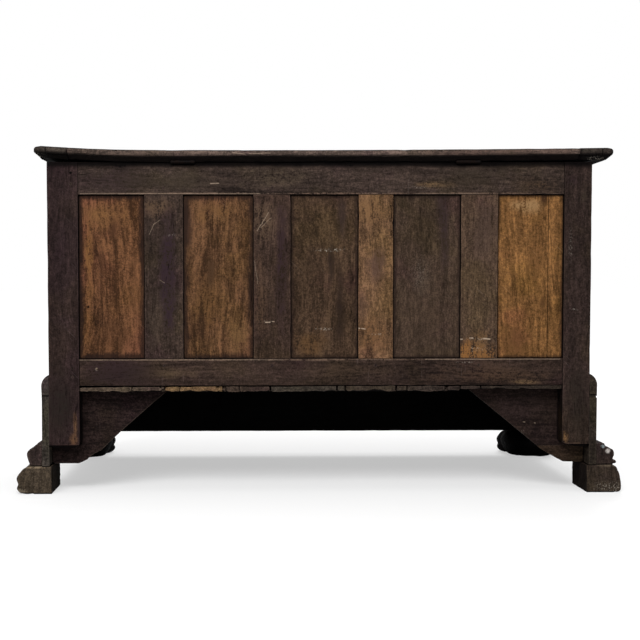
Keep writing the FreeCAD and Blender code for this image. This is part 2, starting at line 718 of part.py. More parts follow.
def make_hinges():
    """Butt hinges: two knuckles on the rail's leaf, one on the lid's leaf, and a pin."""
    axis_y = hinge_axis_y()
    face = back_y - named["member_setback"]
    leaf_front = face - named["leaf_depth"]
    leaf_low, leaf_high = seat - named["leaf_thick"], seat + named["leaf_thick"]
    radius, clear = named["knuckle_radius"], named["knuckle_gap"]
    bore = named["pin_radius"] + named["pin_clearance"]
    rail_leaves, lid_leaves, pins = [], [], []
    for centre in hinge_centres():
        left_end = centre - named["hinge_length"] / 2
        right_end = centre + named["hinge_length"] / 2
        third = named["hinge_length"] / 3
        inner_left, inner_right = left_end + third, right_end - third
        hole = rod(bore, left_end - overrun, right_end + overrun, axis_y, seat)
        rail_solids = [block(left_end, right_end, leaf_front, face, leaf_low, seat)]
        for x_from, x_to in ((left_end, inner_left - clear), (inner_right + clear, right_end)):
            rail_solids.append(rod(radius, x_from, x_to, axis_y, seat))
            rail_solids.append(block(x_from, x_to, face - clear, axis_y, leaf_low, seat))
        rail_leaves.append(carve(rail_solids, [hole]))
        plate = block(left_end, right_end, leaf_front, face, seat, leaf_high)
        link = block(inner_left, inner_right, face - clear, axis_y, seat, leaf_high)
        knuckle = rod(radius, inner_left, inner_right, axis_y, seat)
        lid_leaves.append(carve([plate, link, knuckle], [hole]))
        pins.append(rod(named["pin_radius"], left_end - named["pin_end"], right_end + named["pin_end"],
                        axis_y, seat))
    for label, group in (("hinge_leaves_rail", rail_leaves), ("hinge_leaves_lid", lid_leaves),
                         ("hinge_pins", pins)):
        pair = doc.addObject("Part::Compound", "pair")
        pair.Links = group
        finish(pair, label)


lock_y = front_y + member_back + named["lock_depth"] / 2
staple_from = named["staple_room"]
staple_to = staple_from + named["staple_thick"]
staple_middle = (staple_from + staple_to) / 2


def keyhole(y_from, y_to):
    """Keyhole cut through from front to back: a round hole and a slot below it."""
    centre_z = seat - named["keyhole_low"]
    hole = doc.addObject("Part::Cylinder", "hole")
    bind(hole, Radius=named["keyhole_radius"], Height=y_to - y_from)
    hole.Placement = FreeCAD.Placement(FreeCAD.Vector(), FreeCAD.Rotation(FreeCAD.Vector(1, 0, 0), -90))
    bind(hole, Placement_Base_y=y_from, Placement_Base_z=centre_z)
    half = named["keyhole_slot"] / 2
    slot = block(-half, half, y_from, y_to, centre_z - named["keyhole_drop"], centre_z)
    return [hole, slot]


def make_lock():
    """Lock case behind the front top rail, its sliding bolt, and the staple that drops from the lid."""
    rail_back = front_y + member_back
    half_case = named["lock_width"] / 2
    case_top = seat - named["lock_top_gap"]
    case = block(-half_case, half_case, rail_back, rail_back + named["lock_depth"],
                 case_top - named["lock_height"], case_top)
    bolt_top = seat - named["bolt_drop"]
    bolt_low = bolt_top - named["bolt_height"]
    clear, half_bolt = named["bolt_clearance"], named["bolt_thick"] / 2
    room, wall = named["staple_room"], named["staple_wall"]
    channel = block(-named["bolt_length"] - clear, named["bolt_travel"] + room,
                    lock_y - half_bolt - clear, lock_y + half_bolt + clear, bolt_low, bolt_top + clear)
    half_loop = half_bolt + room + wall
    loop_low = bolt_low - room - wall
    slot = block(staple_from - room, staple_to + room, lock_y - half_loop - room,
                 lock_y + half_loop + room, loop_low - room, seat)
    finish(carve([case], [channel, slot] + keyhole(front_y, lock_y)), "lock_case")
    finish(block(-named["bolt_length"], as_size(0), lock_y - half_bolt, lock_y + half_bolt,
                 bolt_low, bolt_top), "lock_bolt")
    half_length = named["staple_plate_length"] / 2
    half_plate = named["staple_plate_width"] / 2
    plate = block(staple_middle - half_length, staple_middle + half_length, lock_y - half_plate,
                  lock_y + half_plate, seat, seat + named["plate_thick"])
    loop = block(staple_from, staple_to, lock_y - half_loop, lock_y + half_loop, loop_low, seat)
    hole = block(staple_from - overrun, staple_to + overrun, lock_y - half_loop + wall,
                 lock_y + half_loop - wall, loop_low + wall, seat - wall)
    finish(carve([plate, loop], [hole]), "lid_staple")


def make_escutcheon():
    """Shield-shaped keyhole plate on the front top rail."""
    half, tall = named["escutcheon_width"] / 2, named["escutcheon_height"] / 2
    middle_z = seat - named["keyhole_low"] - named["keyhole_drop"] / 2
    low, high = middle_z - tall * shield_side_share, middle_z + tall * shield_side_share
    top, top_x = middle_z + tall, half * shield_top_share
    rise = named["shield_bulge"]
    corners = ((0, middle_z - tall, -rise), (half, low), (half, high, rise), (top_x, top),
               (-top_x, top, rise), (-half, high), (-half, low, -rise))
    face = front_y + named["member_setback"]
    plate = padded("XZ_Plane", corners, face - named["plate_thick"], face)
    finish(carve([plate], keyhole(front_y - overrun, face + overrun)), "lock_escutcheon")


def plinth_section(inner, outwards):
    """Upright section of a plinth board: plain face, quirk and rounded top."""
    face = inner + outwards * named["plinth_thick"]
    quirk_top = plinth_top - named["quirk_drop"] + named["quirk_width"] / 2
    quirk_low = quirk_top - named["quirk_width"]
    sunk = face - outwards * named["quirk_depth"]
    ovolo_low = plinth_top - named["ovolo_height"]
    return ((inner, plinth_low), (face, plinth_low), (face, quirk_low), (sunk, quirk_low),
            (sunk, quirk_top), (face, quirk_top), (face, ovolo_low, named["ovolo_bulge"] * -outwards),
            (face - outwards * named["ovolo_depth"], plinth_top), (inner, plinth_top))


def make_plinth():
    """Front and side boards, mitred at the front corners and nailed to the posts."""
    board = padded("YZ_Plane", plinth_section(front_y, -1), -plinth_x, plinth_x)
    for sign in (-1, 1):
        inner, outer = sign * half_width, sign * plinth_x
        past = outer + sign * overrun
        corner = ((inner, front_y), (past, plinth_front - overrun), (past, front_y))
        add_pocket(board, "XY_Plane", corner, plinth_low - overrun, plinth_top + overrun)
    finish(board, "plinth_front")
    for sign, label in ((-1, "plinth_left"), (1, "plinth_right")):
        inner, outer = sign * half_width, sign * plinth_x
        board = padded("XZ_Plane", plinth_section(inner, sign), plinth_front, back_y)
        past = outer + sign * overrun
        corner = ((inner, plinth_front - overrun), (past, plinth_front - overrun), (inner, front_y))
        add_pocket(board, "XY_Plane", corner, plinth_low - overrun, plinth_top + overrun)
        finish(board, label)


def bracket_x(level):
    """Where the rear brackets' long slope stands at a level, from the chest's middle."""
    top_x = half_width - named["bracket_reach"]
    toe_x = half_width - named["bracket_toe"]
    return toe_x + (top_x - toe_x) * ((level - plinth_low) / (boards_low - plinth_low))


def make_brackets():
    """Triangular boards behind the rear legs, under the bottom boards and on the feet."""
    y_to = back_post_front - gap
    y_from = y_to - named["bracket_thick"]
    outer = half_width - gap
    toe_x = bracket_x(plinth_low) + named["bracket_heel"]
    bend = plinth_low + named["bracket_cyma"]
    whole = ((outer, plinth_low), (outer, boards_low), (bracket_x(boards_low), boards_low),
             (bracket_x(bend), bend, named["bracket_cyma_rise"]), (toe_x, plinth_low))
    finish(padded("XZ_Plane", whole, y_from, y_to), "rear_bracket_right")
    seam = plinth_low + named["bracket_strip"]
    last_low = rail_low - named["last_board_thick"]
    upper = ((-outer, seam), (-bracket_x(seam), seam), (-bracket_x(last_low), last_low), (-outer, last_low))
    finish(padded("XZ_Plane", upper, y_from, y_to), "rear_bracket_left")
    lower = ((-outer, plinth_low), (-toe_x, plinth_low), (-bracket_x(bend), bend), (-bracket_x(seam), seam),
             (-outer, seam))
    finish(padded("XZ_Plane", lower, y_from, y_to), "rear_bracket_strip_left")


def toe_profile(origin, tip):
    """Side view of a toe: sole, claw, knuckle and slope up to the ankle."""
    height = named["foot_height"]
    knuckle = named["toe_knuckle"]
    face = tip - knuckle
    return ((origin, 0), (face - named["toe_claw"], 0, -named["toe_claw_bulge"]),
            (face, height * claw_top_share, -knuckle),
            (face, height * knuckle_top_share), (face - named["toe_slope"], height), (origin, height))


def arch_profile(left_edge, each, count):
    """End view of toes side by side: straight sides and arched tops."""
    width = each * count
    crown = named["toe_crown"]
    spring = named["foot_height"] - named["toe_drop"] - crown
    corners = [(left_edge, 0), (left_edge + width, 0)]
    for number in range(count):
        corners.append((left_edge + width - each * number, spring, -crown))
    corners.append((left_edge, spring))
    return corners


def scroll_profile(face, outwards):
    """Section of the ankle scroll against the plinth's face: a volute under a rounded lip."""
    low = plinth_low - named["toe_drop"] - named["toe_crown"] / 2
    out = face + outwards * named["scroll_reach"] * volute_share
    neck = face + outwards * named["scroll_reach"] * neck_share
    waist = plinth_low + named["scroll_height"] * volute_low_share
    crest = plinth_low + named["scroll_height"] * neck_top_share
    return ((face, low), (out, low), (out, waist, -named["scroll_bulge"] * outwards),
            (neck, crest, -named["scroll_lip"] * outwards), (face, plinth_low + named["scroll_height"]))


def make_rear_feet():
    """Paws that face outwards, sawn flat at the back and on the inner side."""
    inner = plinth_x - named["foot_inset"]
    y_from = back_y - named["foot_depth"]
    tip = plinth_x + named["foot_reach"]
    heel = block(inner, plinth_x, y_from, back_y, as_size(0), plinth_low)
    side = padded("XZ_Plane", toe_profile(plinth_x - overrun, tip), y_from, back_y)
    toe = named["foot_depth"] / (rear_toes - 1 + sawn_toe_share)
    arches = padded("YZ_Plane", arch_profile(y_from, toe, rear_toes), plinth_x, tip + overrun)
    toes = shared(side, arches)
    scroll = padded("XZ_Plane", scroll_profile(plinth_x, 1), back_y - named["scroll_run"], back_y)
    foot = fused([heel, toes, scroll])
    finish(foot, "rear_foot_right")
    finish(mirrored(foot), "rear_foot_left")


def make_front_feet():
    """Corner paws: a bulbous heel under the plinth's corner and toes fanned towards the corner."""
    reach = named["front_toe_reach"]
    centre_x = plinth_x + named["foot_reach"] - reach
    centre_y = plinth_front - named["foot_reach"] + reach
    solids = [turned(make_heel(), 0, centre_x, centre_y)]
    half = named["toe_width"] / 2
    for degrees in front_toe_degrees:
        side = padded("XZ_Plane", toe_profile(named["toe_root"], reach), -half, half)
        arch = padded("YZ_Plane", arch_profile(-half, named["toe_width"], 1), named["toe_root"] - gap,
                      reach + overrun)
        solids.append(turned(shared(side, arch), degrees, centre_x, centre_y))
    foot = fused(solids + front_knee())
    finish(foot, "front_foot_right")
    finish(mirrored(foot), "front_foot_left")


def make_heel():
    """Faceted heel of a front paw: widest above the floor, drawn in under the plinth."""
    heel_neck = named["heel_radius"] * heel_neck_share
    levels = ((named["heel_floor_radius"], as_size(0)), (named["heel_radius"], plinth_low * heel_widest_share),
              (heel_neck, plinth_low))
    rings = []
    for radius, height in levels:
        ring = doc.addObject("Part::RegularPolygon", "ring")
        ring.Polygon = heel_sides
        bind(ring, Circumradius=radius, Placement_Base_z=height)
        rings.append(ring)
    heel = doc.addObject("Part::Loft", "heel")
    heel.Sections = rings
    heel.Solid = True
    heel.Ruled = True
    return heel


def front_knee():
    """Ankle scrolls along both plinth faces, mitred where they meet at the corner."""
    run, past = named["knee_run"], named["scroll_reach"] + overrun
    side, front_side = scroll_profile(plinth_x, 1), scroll_profile(plinth_front, -1)
    corner = shared(padded("XZ_Plane", side, plinth_front - past, plinth_front),
                    padded("YZ_Plane", front_side, plinth_x, plinth_x + past))
    return [padded("XZ_Plane", side, plinth_front, plinth_front + run),
            padded("YZ_Plane", front_side, plinth_x - run, plinth_x), corner]


def check_and_write():
    """Check every object, then write one file for each sub-part."""
    doc.recompute()
    for thing in doc.Objects:
        if "Invalid" in thing.State or "Error" in thing.State:
            raise RuntimeError(f"{thing.Name} ({thing.Label}) failed: {thing.State}")
    os.makedirs("parts", exist_ok=True)
    for part in sub_parts:
        if part.Shape.isNull() or not part.Shape.isValid():
            raise RuntimeError(f"{part.Label} has no valid shape")
    for part in sub_parts:
        part.Shape.exportStep(os.path.join("parts", f"{part.Label}.step"))
        box = part.Shape.BoundBox
        print(f"{part.Label}: {len(part.Shape.Solids)} solid(s), {part.Shape.Volume / 1000:.1f} cm3,"
              f" x {box.XMin:.1f}..{box.XMax:.1f} y {box.YMin:.1f}..{box.YMax:.1f}"
              f" z {box.ZMin:.1f}..{box.ZMax:.1f}")
    print(len(sub_parts), "sub-parts")


make_posts()
make_frames()
make_bottom_boards()
make_lid()
make_hinges()
make_lock()
make_escutcheon()
make_plinth()
make_brackets()
make_rear_feet()
make_front_feet()
check_and_write()
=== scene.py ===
import math
import random

import bmesh
import bpy
from mathutils import Matrix, Vector, noise
from mathutils.bvhtree import BVHTree


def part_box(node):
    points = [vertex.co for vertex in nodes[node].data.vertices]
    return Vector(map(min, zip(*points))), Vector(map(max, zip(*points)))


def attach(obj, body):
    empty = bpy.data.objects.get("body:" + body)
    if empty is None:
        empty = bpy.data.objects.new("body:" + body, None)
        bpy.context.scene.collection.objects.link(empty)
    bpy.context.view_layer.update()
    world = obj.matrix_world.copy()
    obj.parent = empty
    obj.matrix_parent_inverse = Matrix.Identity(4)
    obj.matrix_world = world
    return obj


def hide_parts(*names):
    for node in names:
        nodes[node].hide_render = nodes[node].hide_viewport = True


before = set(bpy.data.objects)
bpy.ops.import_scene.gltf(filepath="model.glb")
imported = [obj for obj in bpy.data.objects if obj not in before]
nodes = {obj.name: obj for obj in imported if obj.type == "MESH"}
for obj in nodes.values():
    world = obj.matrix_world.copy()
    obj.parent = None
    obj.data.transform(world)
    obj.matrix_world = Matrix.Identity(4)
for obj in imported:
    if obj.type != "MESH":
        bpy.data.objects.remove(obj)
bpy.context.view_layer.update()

# Old joined chest, seen from behind. Metres; +Z up; the chest's front faces -Y and its back +Y.
# Left and right are those of someone who faces the front, so right is +X.

MM = 0.001


# Shader wiring

def maths(operation, reflected=False):
    """A method that adds a Math node for a value and, as a rule, one more."""
    def run(value, *others):
        fed = (*others, value) if reflected else (value, *others)
        return value.finish.node("ShaderNodeMath", {"operation": operation}, *fed)
    return run


class Value:
    """What one socket gives over a surface. Python's operators on it add Math nodes."""

    def __init__(self, finish, socket):
        self.finish = finish
        self.socket = socket

    __add__ = __radd__ = maths("ADD")
    __mul__ = __rmul__ = maths("MULTIPLY")
    __sub__ = maths("SUBTRACT")
    __rsub__ = maths("SUBTRACT", reflected=True)
    __truediv__ = maths("DIVIDE")
    __pow__ = maths("POWER")
    least = maths("MINIMUM")
    most = maths("MAXIMUM")
    size = maths("ABSOLUTE")
    sine = maths("SINE")

    def rise(self, low, high):
        """0 below low, 1 above high, and smooth between; the other way round where low is the higher."""
        if low > high:
            return 1 - self.rise(high, low)
        return self.finish.node("ShaderNodeMapRange", {"interpolation_type": "SMOOTHSTEP"}, self, low, high)


class Wiring:
    """A node tree that is wired up in Python."""

    def __init__(self, tree):
        self.tree = tree

    def node(self, kind, settings=None, *values, out=0, **named):
        """Add a node: its settings first, then its inputs in order or by identifier."""
        made = self.tree.nodes.new(kind)
        for name, value in (settings or {}).items():
            setattr(made, name, value)
        for place, value in enumerate(values):
            self.feed(made.inputs[place], value)
        for name, value in named.items():
            self.feed(next(s for s in made.inputs if s.identifier == name), value)
        return Value(self, made.outputs[out])

    def feed(self, socket, value):
        if isinstance(value, Value):
            self.tree.links.new(value.socket, socket)
        else:
            socket.default_value = value

    def vector(self, x, y, z):
        return self.node("ShaderNodeCombineXYZ", None, x, y, z)


class Finish(Wiring):
    """A material, its nodes, and the shade that its coats of colour give so far."""

    def __init__(self, name, shade):
        self.material = bpy.data.materials.new(name)
        self.material.use_nodes = True
        super().__init__(self.material.node_tree)
        self.shade = shade

    def coat(self, share, over, blend="MIX"):
        """Lay a colour over the shade so far."""
        self.shade = self.mix(share, self.shade, over, blend)

    def done(self, **inputs):
        """Feed the shade and some values to the shader; an underscore stands for a space."""
        shader = self.tree.nodes["Principled BSDF"]
        for name, value in {"Base_Color": self.shade, **inputs}.items():
            self.feed(shader.inputs[name.replace("_", " ")], value)
        return self.material

    def place(self):
        return self.node("ShaderNodeTexCoord", out=3)

    def parts(self, vector):
        split = self.tree.nodes.new("ShaderNodeSeparateXYZ")
        self.feed(split.inputs[0], vector)
        return [Value(self, socket) for socket in split.outputs]

    def stretched(self, vector, scales):
        return self.node("ShaderNodeVectorMath", {"operation": "MULTIPLY"}, vector, scales)

    def noise(self, vector, scale, detail=3.0, roughness=0.55, distortion=0.0):
        return self.node("ShaderNodeTexNoise", None, Vector=vector, Scale=scale, Detail=detail,
                         Roughness=roughness, Distortion=distortion)

    def mix(self, share, first, second, blend="MIX"):
        return self.node("ShaderNodeMix", {"data_type": "RGBA", "blend_type": blend}, out=2,
                         Factor_Float=share, A_Color=first, B_Color=second)

    def bump(self, height, distance):
        return self.node("ShaderNodeBump", None, Strength=0.8, Distance=distance, Height=height)


def colour(red, green, blue, share=1.0):
    """Colour written as on a screen, 0 to 255, made lighter or darker by a share."""
    linear = []
    for value in (red, green, blue):
        value = value / 255
        linear.append((value / 12.92 if value <= 0.04045 else ((value + 0.055) / 1.055) ** 2.4) * share)
    return (*linear, 1.0)


# Old wood

AXES = {"x": 0, "y": 1, "z": 2}
BLACK = (8, 5, 5)
# Near-black for cracks, worm holes and dirt, and for painted shade.
SOOT = colour(*BLACK)
PANEL_DIRT = colour(38, 27, 24)
LIMEWASH = colour(190, 180, 166)
BARE_SCRATCH = colour(186, 164, 142)
# Heights, in mm, over which the painted shadow under the lid comes in.
UNDER_LID = (862, 875)


def patch(xs, zs, spot, wander):
    """Soft-edged blotch: 1 in its middle and 0 outside. spot is (x, z, half width, half height)."""
    x, z, half_x, half_z = spot
    across = (xs - x) / half_x
    up = (zs - z) / half_z
    return ((across * across + up * up) ** 0.5 + (wander - 0.5) * 2.4).rise(1.15, 0.1)


def scratch(xs, zs, line):
    """1 on a thin straight scratch and 0 beside it. line is (x, z, x, z, half width)."""
    x, z, end_x, end_z, half = line
    run_x, run_z = end_x - x, end_z - z
    along = ((xs - x) * run_x + (zs - z) * run_z) * (1 / (run_x * run_x + run_z * run_z))
    along = along.most(0.0).least(1.0)
    off_x = xs - x - along * run_x
    off_z = zs - z - along * run_z
    return ((off_x * off_x + off_z * off_z) ** 0.5).rise(half, half * 0.3)


def old_wood(name, tone, along, seed, contrast=1.0, stain=0.5, figure=0.35, broad=1.0, gloss=0.0, rim=None,
             patches=(), flecks=(), scratches=(), seams=(), marks_from=None, upper_tint=None, black_from=None,
             sooty_back=False, inner_dark=0.0, under_lid=False, dark_nose=False, edge=None):
    """Aged, waxed and dusty timber. tone is its usual colour and along the way its grain runs.

    Places are in mm. figure is the strength of the growth rings and broad that of the wide streaks. patches
    are (x, z, half width, half height, colour, strength); flecks, of old limewash, lack the colour.
    scratches are (x, z, x, z, half width, strength), some of them painted highlights along lit arrises, and
    seams (axis, place, half width) of dark joints.
    A rim is dirt near a panel's edges, with a black line of dirt and painted shade at the groove. marks_from
    is the y behind which patches, flecks and seams show.
    upper_tint multiplies the wood above the plinth's lower edge. black_from is the two y between which the
    wood turns black, a painted shadow. inner_dark paints shade on sides that face the middle of the chest,
    dark_nose on the upper and lower rounding of a nose, under_lid just under the lid and sooty_back on faces
    that look back. edge is the colour, reach and strength of the arrises: paler for wear and a painted
    highlight, or darker, as on the lid.
    """
    dark = colour(*tone, 0.4)
    light_tone = [min(255, value * 1.36 + 5) for value in tone]
    finish = Finish(name, dark)
    coat = finish.coat
    place = finish.place()
    sides = finish.parts(finish.stretched(place, (1000, 1000, 1000)))
    xs, ys, zs = sides
    shown = 1.0 if marks_from is None else ys.rise(marks_from, marks_from + 10)
    shift = Vector((seed * 1.37, seed * 0.71 + 3, seed * 2.11 + 5))
    order = {"x": (1, 2, 0), "y": (0, 2, 1), "z": (0, 1, 2)}[along]

    def moved(vector, by):
        return finish.node("ShaderNodeVectorMath", {"operation": "ADD"}, vector, by)

    shifted = moved(place, shift)
    parts = finish.parts(shifted)
    across, depth, length = (parts[i] for i in order)

    def broadly(run, *how):
        return finish.noise(finish.vector(across, depth, length * run), *how)

    # The grain wanders sideways along the board.
    bend = (broadly(0.45, 5.0, 1.0) - 0.5) * 0.085 + (broadly(0.35, 17.0, 1.0) - 0.5) * 0.02
    bent = finish.vector(across + bend, depth + bend * 0.6, length)

    def grain(side, run, detail=2.0, roughness=0.55):
        return finish.noise(finish.stretched(bent, (side, side, run)), 1.0, detail, roughness)

    streak = grain(30, 2.4)
    band = grain(88, 11)
    fibre = grain(210, 42, 3.0, 0.7)
    grit = finish.noise(shifted, 105.0, 2.0, 0.7)
    speck = finish.noise(shifted, 240.0, 3.0, 0.85)

    # Growth rings cut by the board: bands that close into arches where the grain runs out.
    ring_across, ring_depth, ring_length = finish.parts(bent)
    heart = ((ring_across - shift[order[0]] - 0.11) ** 2 + (ring_depth - 0.05) ** 2) ** 0.5
    ring = (heart * 560 + streak * 9 + ring_length * 2.5).sine()
    wide = (streak - 0.5) * (0.8 * broad) + (band - 0.5) * (0.85 * broad)
    fine = (fibre - 0.5) * 1.25 + (grit - 0.5) * 1.0 + (speck - 0.5) * 1.9
    level = (wide + fine + ring * (figure * 0.14)) * contrast + 0.5
    coat(level.rise(0.0, 0.62), colour(*tone, 1.04))
    coat(level.rise(0.5, 1.05), colour(*light_tone))

    # Broad tints, stains and bleached places.
    cloud = broadly(0.5, 5.2, 4.0, 0.6, 0.4)
    mottle = broadly(0.7, 13.0, 4.0, 0.65)
    tint = finish.noise(moved(shifted, (7.3, 1.9, 4.4)), 6.5, 3.0)
    coat(tint.rise(0.52, 0.68) * 0.7, (1.0, 0.85, 1.08, 1), "MULTIPLY")
    coat(tint.rise(0.48, 0.34) * 0.7, (0.95, 0.99, 0.8, 1), "MULTIPLY")
    coat(cloud.rise(0.5, 0.7) * (0.62 * stain), colour(30, 22, 23, 0.8))
    coat(cloud.rise(0.47, 0.3) * (0.5 * stain), colour(*light_tone, 1.12))
    coat(mottle.rise(0.54, 0.76) * (0.5 * stain), dark)
    if upper_tint:
        coat(zs.rise(PLINTH_LOW / MM - 0.5, PLINTH_LOW / MM + 0.5), (*upper_tint, 1), "MULTIPLY")
    for *spot, spot_colour, amount in patches:
        mask = patch(xs, zs, spot, mottle) * (level * 2.4 - 0.5).most(0.0).least(1.0) * shown
        coat((mask * amount).least(1.0), colour(*spot_colour))
    if rim:
        left, right, low, high, width, amount = rim
        inside = (xs - left).least(right - xs).least(zs - low).least(high - zs)
        ragged = inside + (mottle - 0.5) * (width * 1.2) + (fibre - 0.5) * (width * 0.8)
        coat(ragged.rise(width, width * 0.3) * amount, PANEL_DIRT)
        # Right at the groove, a crisp black line: dirt and painted shade.
        coat((inside + (fibre - 0.5) * 2).rise(3.4, 1) * 0.93, SOOT)

    # Pores, drying cracks and worm holes are dark; they sink in the surface too.
    pores = grain(520, 70, 2.0, 0.8).rise(0.57, 0.7)
    crack = (grain(36, 1.0, 4.0, 0.6) - 0.5).size().rise(0.006, 0.0005) * cloud.rise(0.5, 0.62)
    for axis, middle, half in seams:
        line = sides[AXES[axis]] - middle + (mottle - 0.5) * (half * 1.5)
        crack = crack.most(line.size().rise(half, half * 0.35) * shown)
    cells = finish.node("ShaderNodeTexVoronoi", None, Vector=shifted, Scale=46.0)
    worm = cells.rise(0.06, 0.03) * tint.rise(0.5, 0.6) * 0.4
    coat(pores * 0.35, dark)
    coat(crack.most(worm).least(1.0) * 0.85, SOOT)

    # Scuffs cross the grain at a slant.
    slant = finish.vector(across + length * 0.8, depth, length - across)
    scuff = finish.noise(finish.stretched(slant, (9, 9, 260)), 1.0, 2.0, 0.7).rise(0.64, 0.72)
    coat(scuff * mottle.rise(0.5, 0.66) * 0.3, colour(*[value * 1.2 + 50 for value in tone]))

    # Arrises are paler, for wear and a painted highlight; creases darken with dirt and painted shade, and
    # faces that look down get painted shade.
    edge_tone, edge_reach, edge_share = edge or ([value * 1.5 + 20 for value in tone], 3, 0.62)
    true_normal = finish.node("ShaderNodeNewGeometry", None, out=3)
    bevel = finish.node("ShaderNodeBevel", {"samples": 4}, edge_reach * MM)
    facing = finish.node("ShaderNodeVectorMath", {"operation": "DOT_PRODUCT"}, bevel, true_normal, out=1)
    # Arrises take the edge colour: the paler ones are wear and a painted highlight.
    arris = (1 - facing).rise(0.02, 0.2) * (mottle + speck - 0.1)
    coat(arris.least(1.0).most(0.0) * edge_share, colour(*edge_tone))
    # Ambient occlusion darkens creases and corners: dirt there, and painted shade.
    near = finish.node("ShaderNodeAmbientOcclusion", {"samples": 8}, Distance=8.5 * MM, out=1)
    crease = near.rise(0.86, 0.5)
    coat(crease * (0.8 + mottle * 0.4).least(1.0), SOOT)
    sideways, backwards, upwards = finish.parts(true_normal)
    # Painted shade: faces that look down go black; where asked, so do sides facing the middle, a nose's
    # roundings, wood just under the lid and faces that look back.
    sooty = upwards.rise(-0.25, -0.6) * 0.96
    if inner_dark:
        sooty = sooty.most((xs * sideways).rise(-200, -500) * inner_dark)
    if dark_nose:
        sooty = sooty.most(upwards.rise(0.15, 0.5) * upwards.rise(0.995, 0.96) * 0.8)
        sooty = sooty.most(upwards.rise(-0.03, -0.35) * 0.9)
    if under_lid:
        sooty = sooty.most((zs + (mottle - 0.5) * 8).rise(*UNDER_LID) * backwards.rise(0.3, 0.7) * 0.92)
    if sooty_back:
        sooty = sooty.most(backwards.rise(-0.1, 0.35) * 0.94)
    coat(sooty, SOOT)
    for *spot, amount in flecks:
        coat(patch(xs, zs, spot, fibre) * speck.rise(0.53, 0.62) * shown * amount, LIMEWASH)
    # Pale lines: scratches, and painted highlights along lit arrises.
    for *line, amount in scratches:
        broken = scratch(xs + (mottle - 0.5) * 20, zs, line) * (fibre + speck - 0.25).most(0.0).least(1.0)
        coat(broken * amount, BARE_SCRATCH)
    # Painted shadow: the wood turns black towards the dark space under the chest.
    if black_from:
        coat(ys.rise(*black_from), colour(3, 2, 2))

    height = fibre * 0.8 + speck * 0.5 + band * 0.5 - pores * 0.5 - crack * 2.0 - worm * 2.6 + mottle * 0.5
    rough = 0.68 + (band - 0.5) * 0.3 + (cloud - 0.5) * 0.3 - gloss + crease * 0.2
    return finish.done(Roughness=rough.least(0.95).most(0.3), Specular_IOR_Level=0.05 + gloss,
                       Normal=finish.bump(height, 1.1 * MM))


def old_iron(name, soot=0.0):
    """Wrought iron with rust in the hollows, darker close to other surfaces; soot is a share of painted
    shade.
    """
    finish = Finish(name, colour(26, 21, 19))
    place = finish.place()
    rust = finish.noise(place, 60.0, 6.0, 0.65)
    pits = finish.noise(place, 420.0, 4.0, 0.6)
    near = finish.node("ShaderNodeAmbientOcclusion", {"samples": 6}, Distance=6 * MM, out=1)
    finish.coat(rust.rise(0.4, 0.62), colour(48, 30, 21))
    finish.coat(pits.rise(0.5, 0.72) * 0.6, colour(14, 10, 9))
    finish.coat(near.rise(0.8, 0.3) * 0.7, colour(12, 8, 8))
    # Painted shade, as a share of near-black.
    finish.coat(soot, SOOT)
    return finish.done(Metallic=rust.rise(0.62, 0.4) * (0.5 * (1 - soot)), Roughness=0.55 + rust * 0.4,
                       Specular_IOR_Level=0.4 * (1 - soot),
                       Normal=finish.bump(rust * 0.6 + pits * 0.4, 0.8 * MM))


# Meshes

LEAST_CUT = 0.001 * MM
WEAR_STEP, ARRIS, NOSE, DENT = 18 * MM, 1.6 * MM, 4.2 * MM, 1.5 * MM
TIP_RADIUS = 8.5 * MM


def add_object(name, data):
    made = bpy.data.objects.new(name, data)
    bpy.context.scene.collection.objects.link(made)
    return made


def add_mesh(name, mesh):
    """Object made from a bmesh, which is freed."""
    data = bpy.data.meshes.new(name)
    mesh.to_mesh(data)
    mesh.free()
    return add_object(name, data)


def bake(piece):
    """Put an object's finished mesh in place of its rough one and its modifiers."""
    rough = piece.data
    graph = bpy.context.evaluated_depsgraph_get()
    piece.data = bpy.data.meshes.new_from_object(piece.evaluated_get(graph))
    piece.modifiers.clear()
    bpy.data.meshes.remove(rough)
    piece.data.name = piece.name


def make_piece(node, ending, mesh, body="chest"):
    """Turn a bmesh into a piece that rides on a body in place of a CAD node."""
    piece = add_mesh(f"{node}_{ending}", mesh)
    piece.data.shade_smooth()
    piece.data.set_sharp_from_angle(angle=math.radians(38))
    evening = piece.modifiers.new("even_normals", "WEIGHTED_NORMAL")
    evening.keep_sharp = True
    evening.weight = 90
    bake(piece)
    piece.data.materials.clear()
    piece.data.materials.append(finishes[node])
    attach(piece, body)
    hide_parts(node)


def whole_copy(node):
    """A CAD node's shape with its doubles merged and its flat faces whole."""
    mesh = bmesh.new()
    mesh.from_mesh(nodes[node].data)
    bmesh.ops.remove_doubles(mesh, verts=mesh.verts, dist=0.01 * MM)
    bmesh.ops.dissolve_limit(mesh, angle_limit=math.radians(0.5), verts=mesh.verts, edges=mesh.edges)
    return mesh


def axis_vector(axis, length):
    way = Vector((0, 0, 0))
    way[axis] = length
    return way


def cut(mesh, point, normal, clear=False):
    """Add a loop of edges where a plane crosses a mesh; clear takes away what lies beyond it."""
    everything = mesh.verts[:] + mesh.edges[:] + mesh.faces[:]
    made = bmesh.ops.bisect_plane(mesh, geom=everything, dist=LEAST_CUT, plane_co=point, plane_no=normal,
                                  clear_outer=clear)
    return made["geom_cut"]


def cut_at(mesh, axis, place):
    cut(mesh, axis_vector(axis, place), axis_vector(axis, 1))


def slice_across(mesh, axis, low, high, step, draw):
    """Cut a mesh across an axis at uneven steps, so that its arrises can wander."""
    place = low + step
    while place < high - step * 0.5:
        cut_at(mesh, axis, place)
        place += step * draw.uniform(0.7, 1.3)


def ease(mesh, edges, offset, segments):
    """Round some edges and return the points of the new faces."""
    made = bmesh.ops.bevel(mesh, geom=edges, offset=offset, segments=segments, profile=0.6, affect="EDGES",
                           clamp_overlap=True)
    return made["verts"]


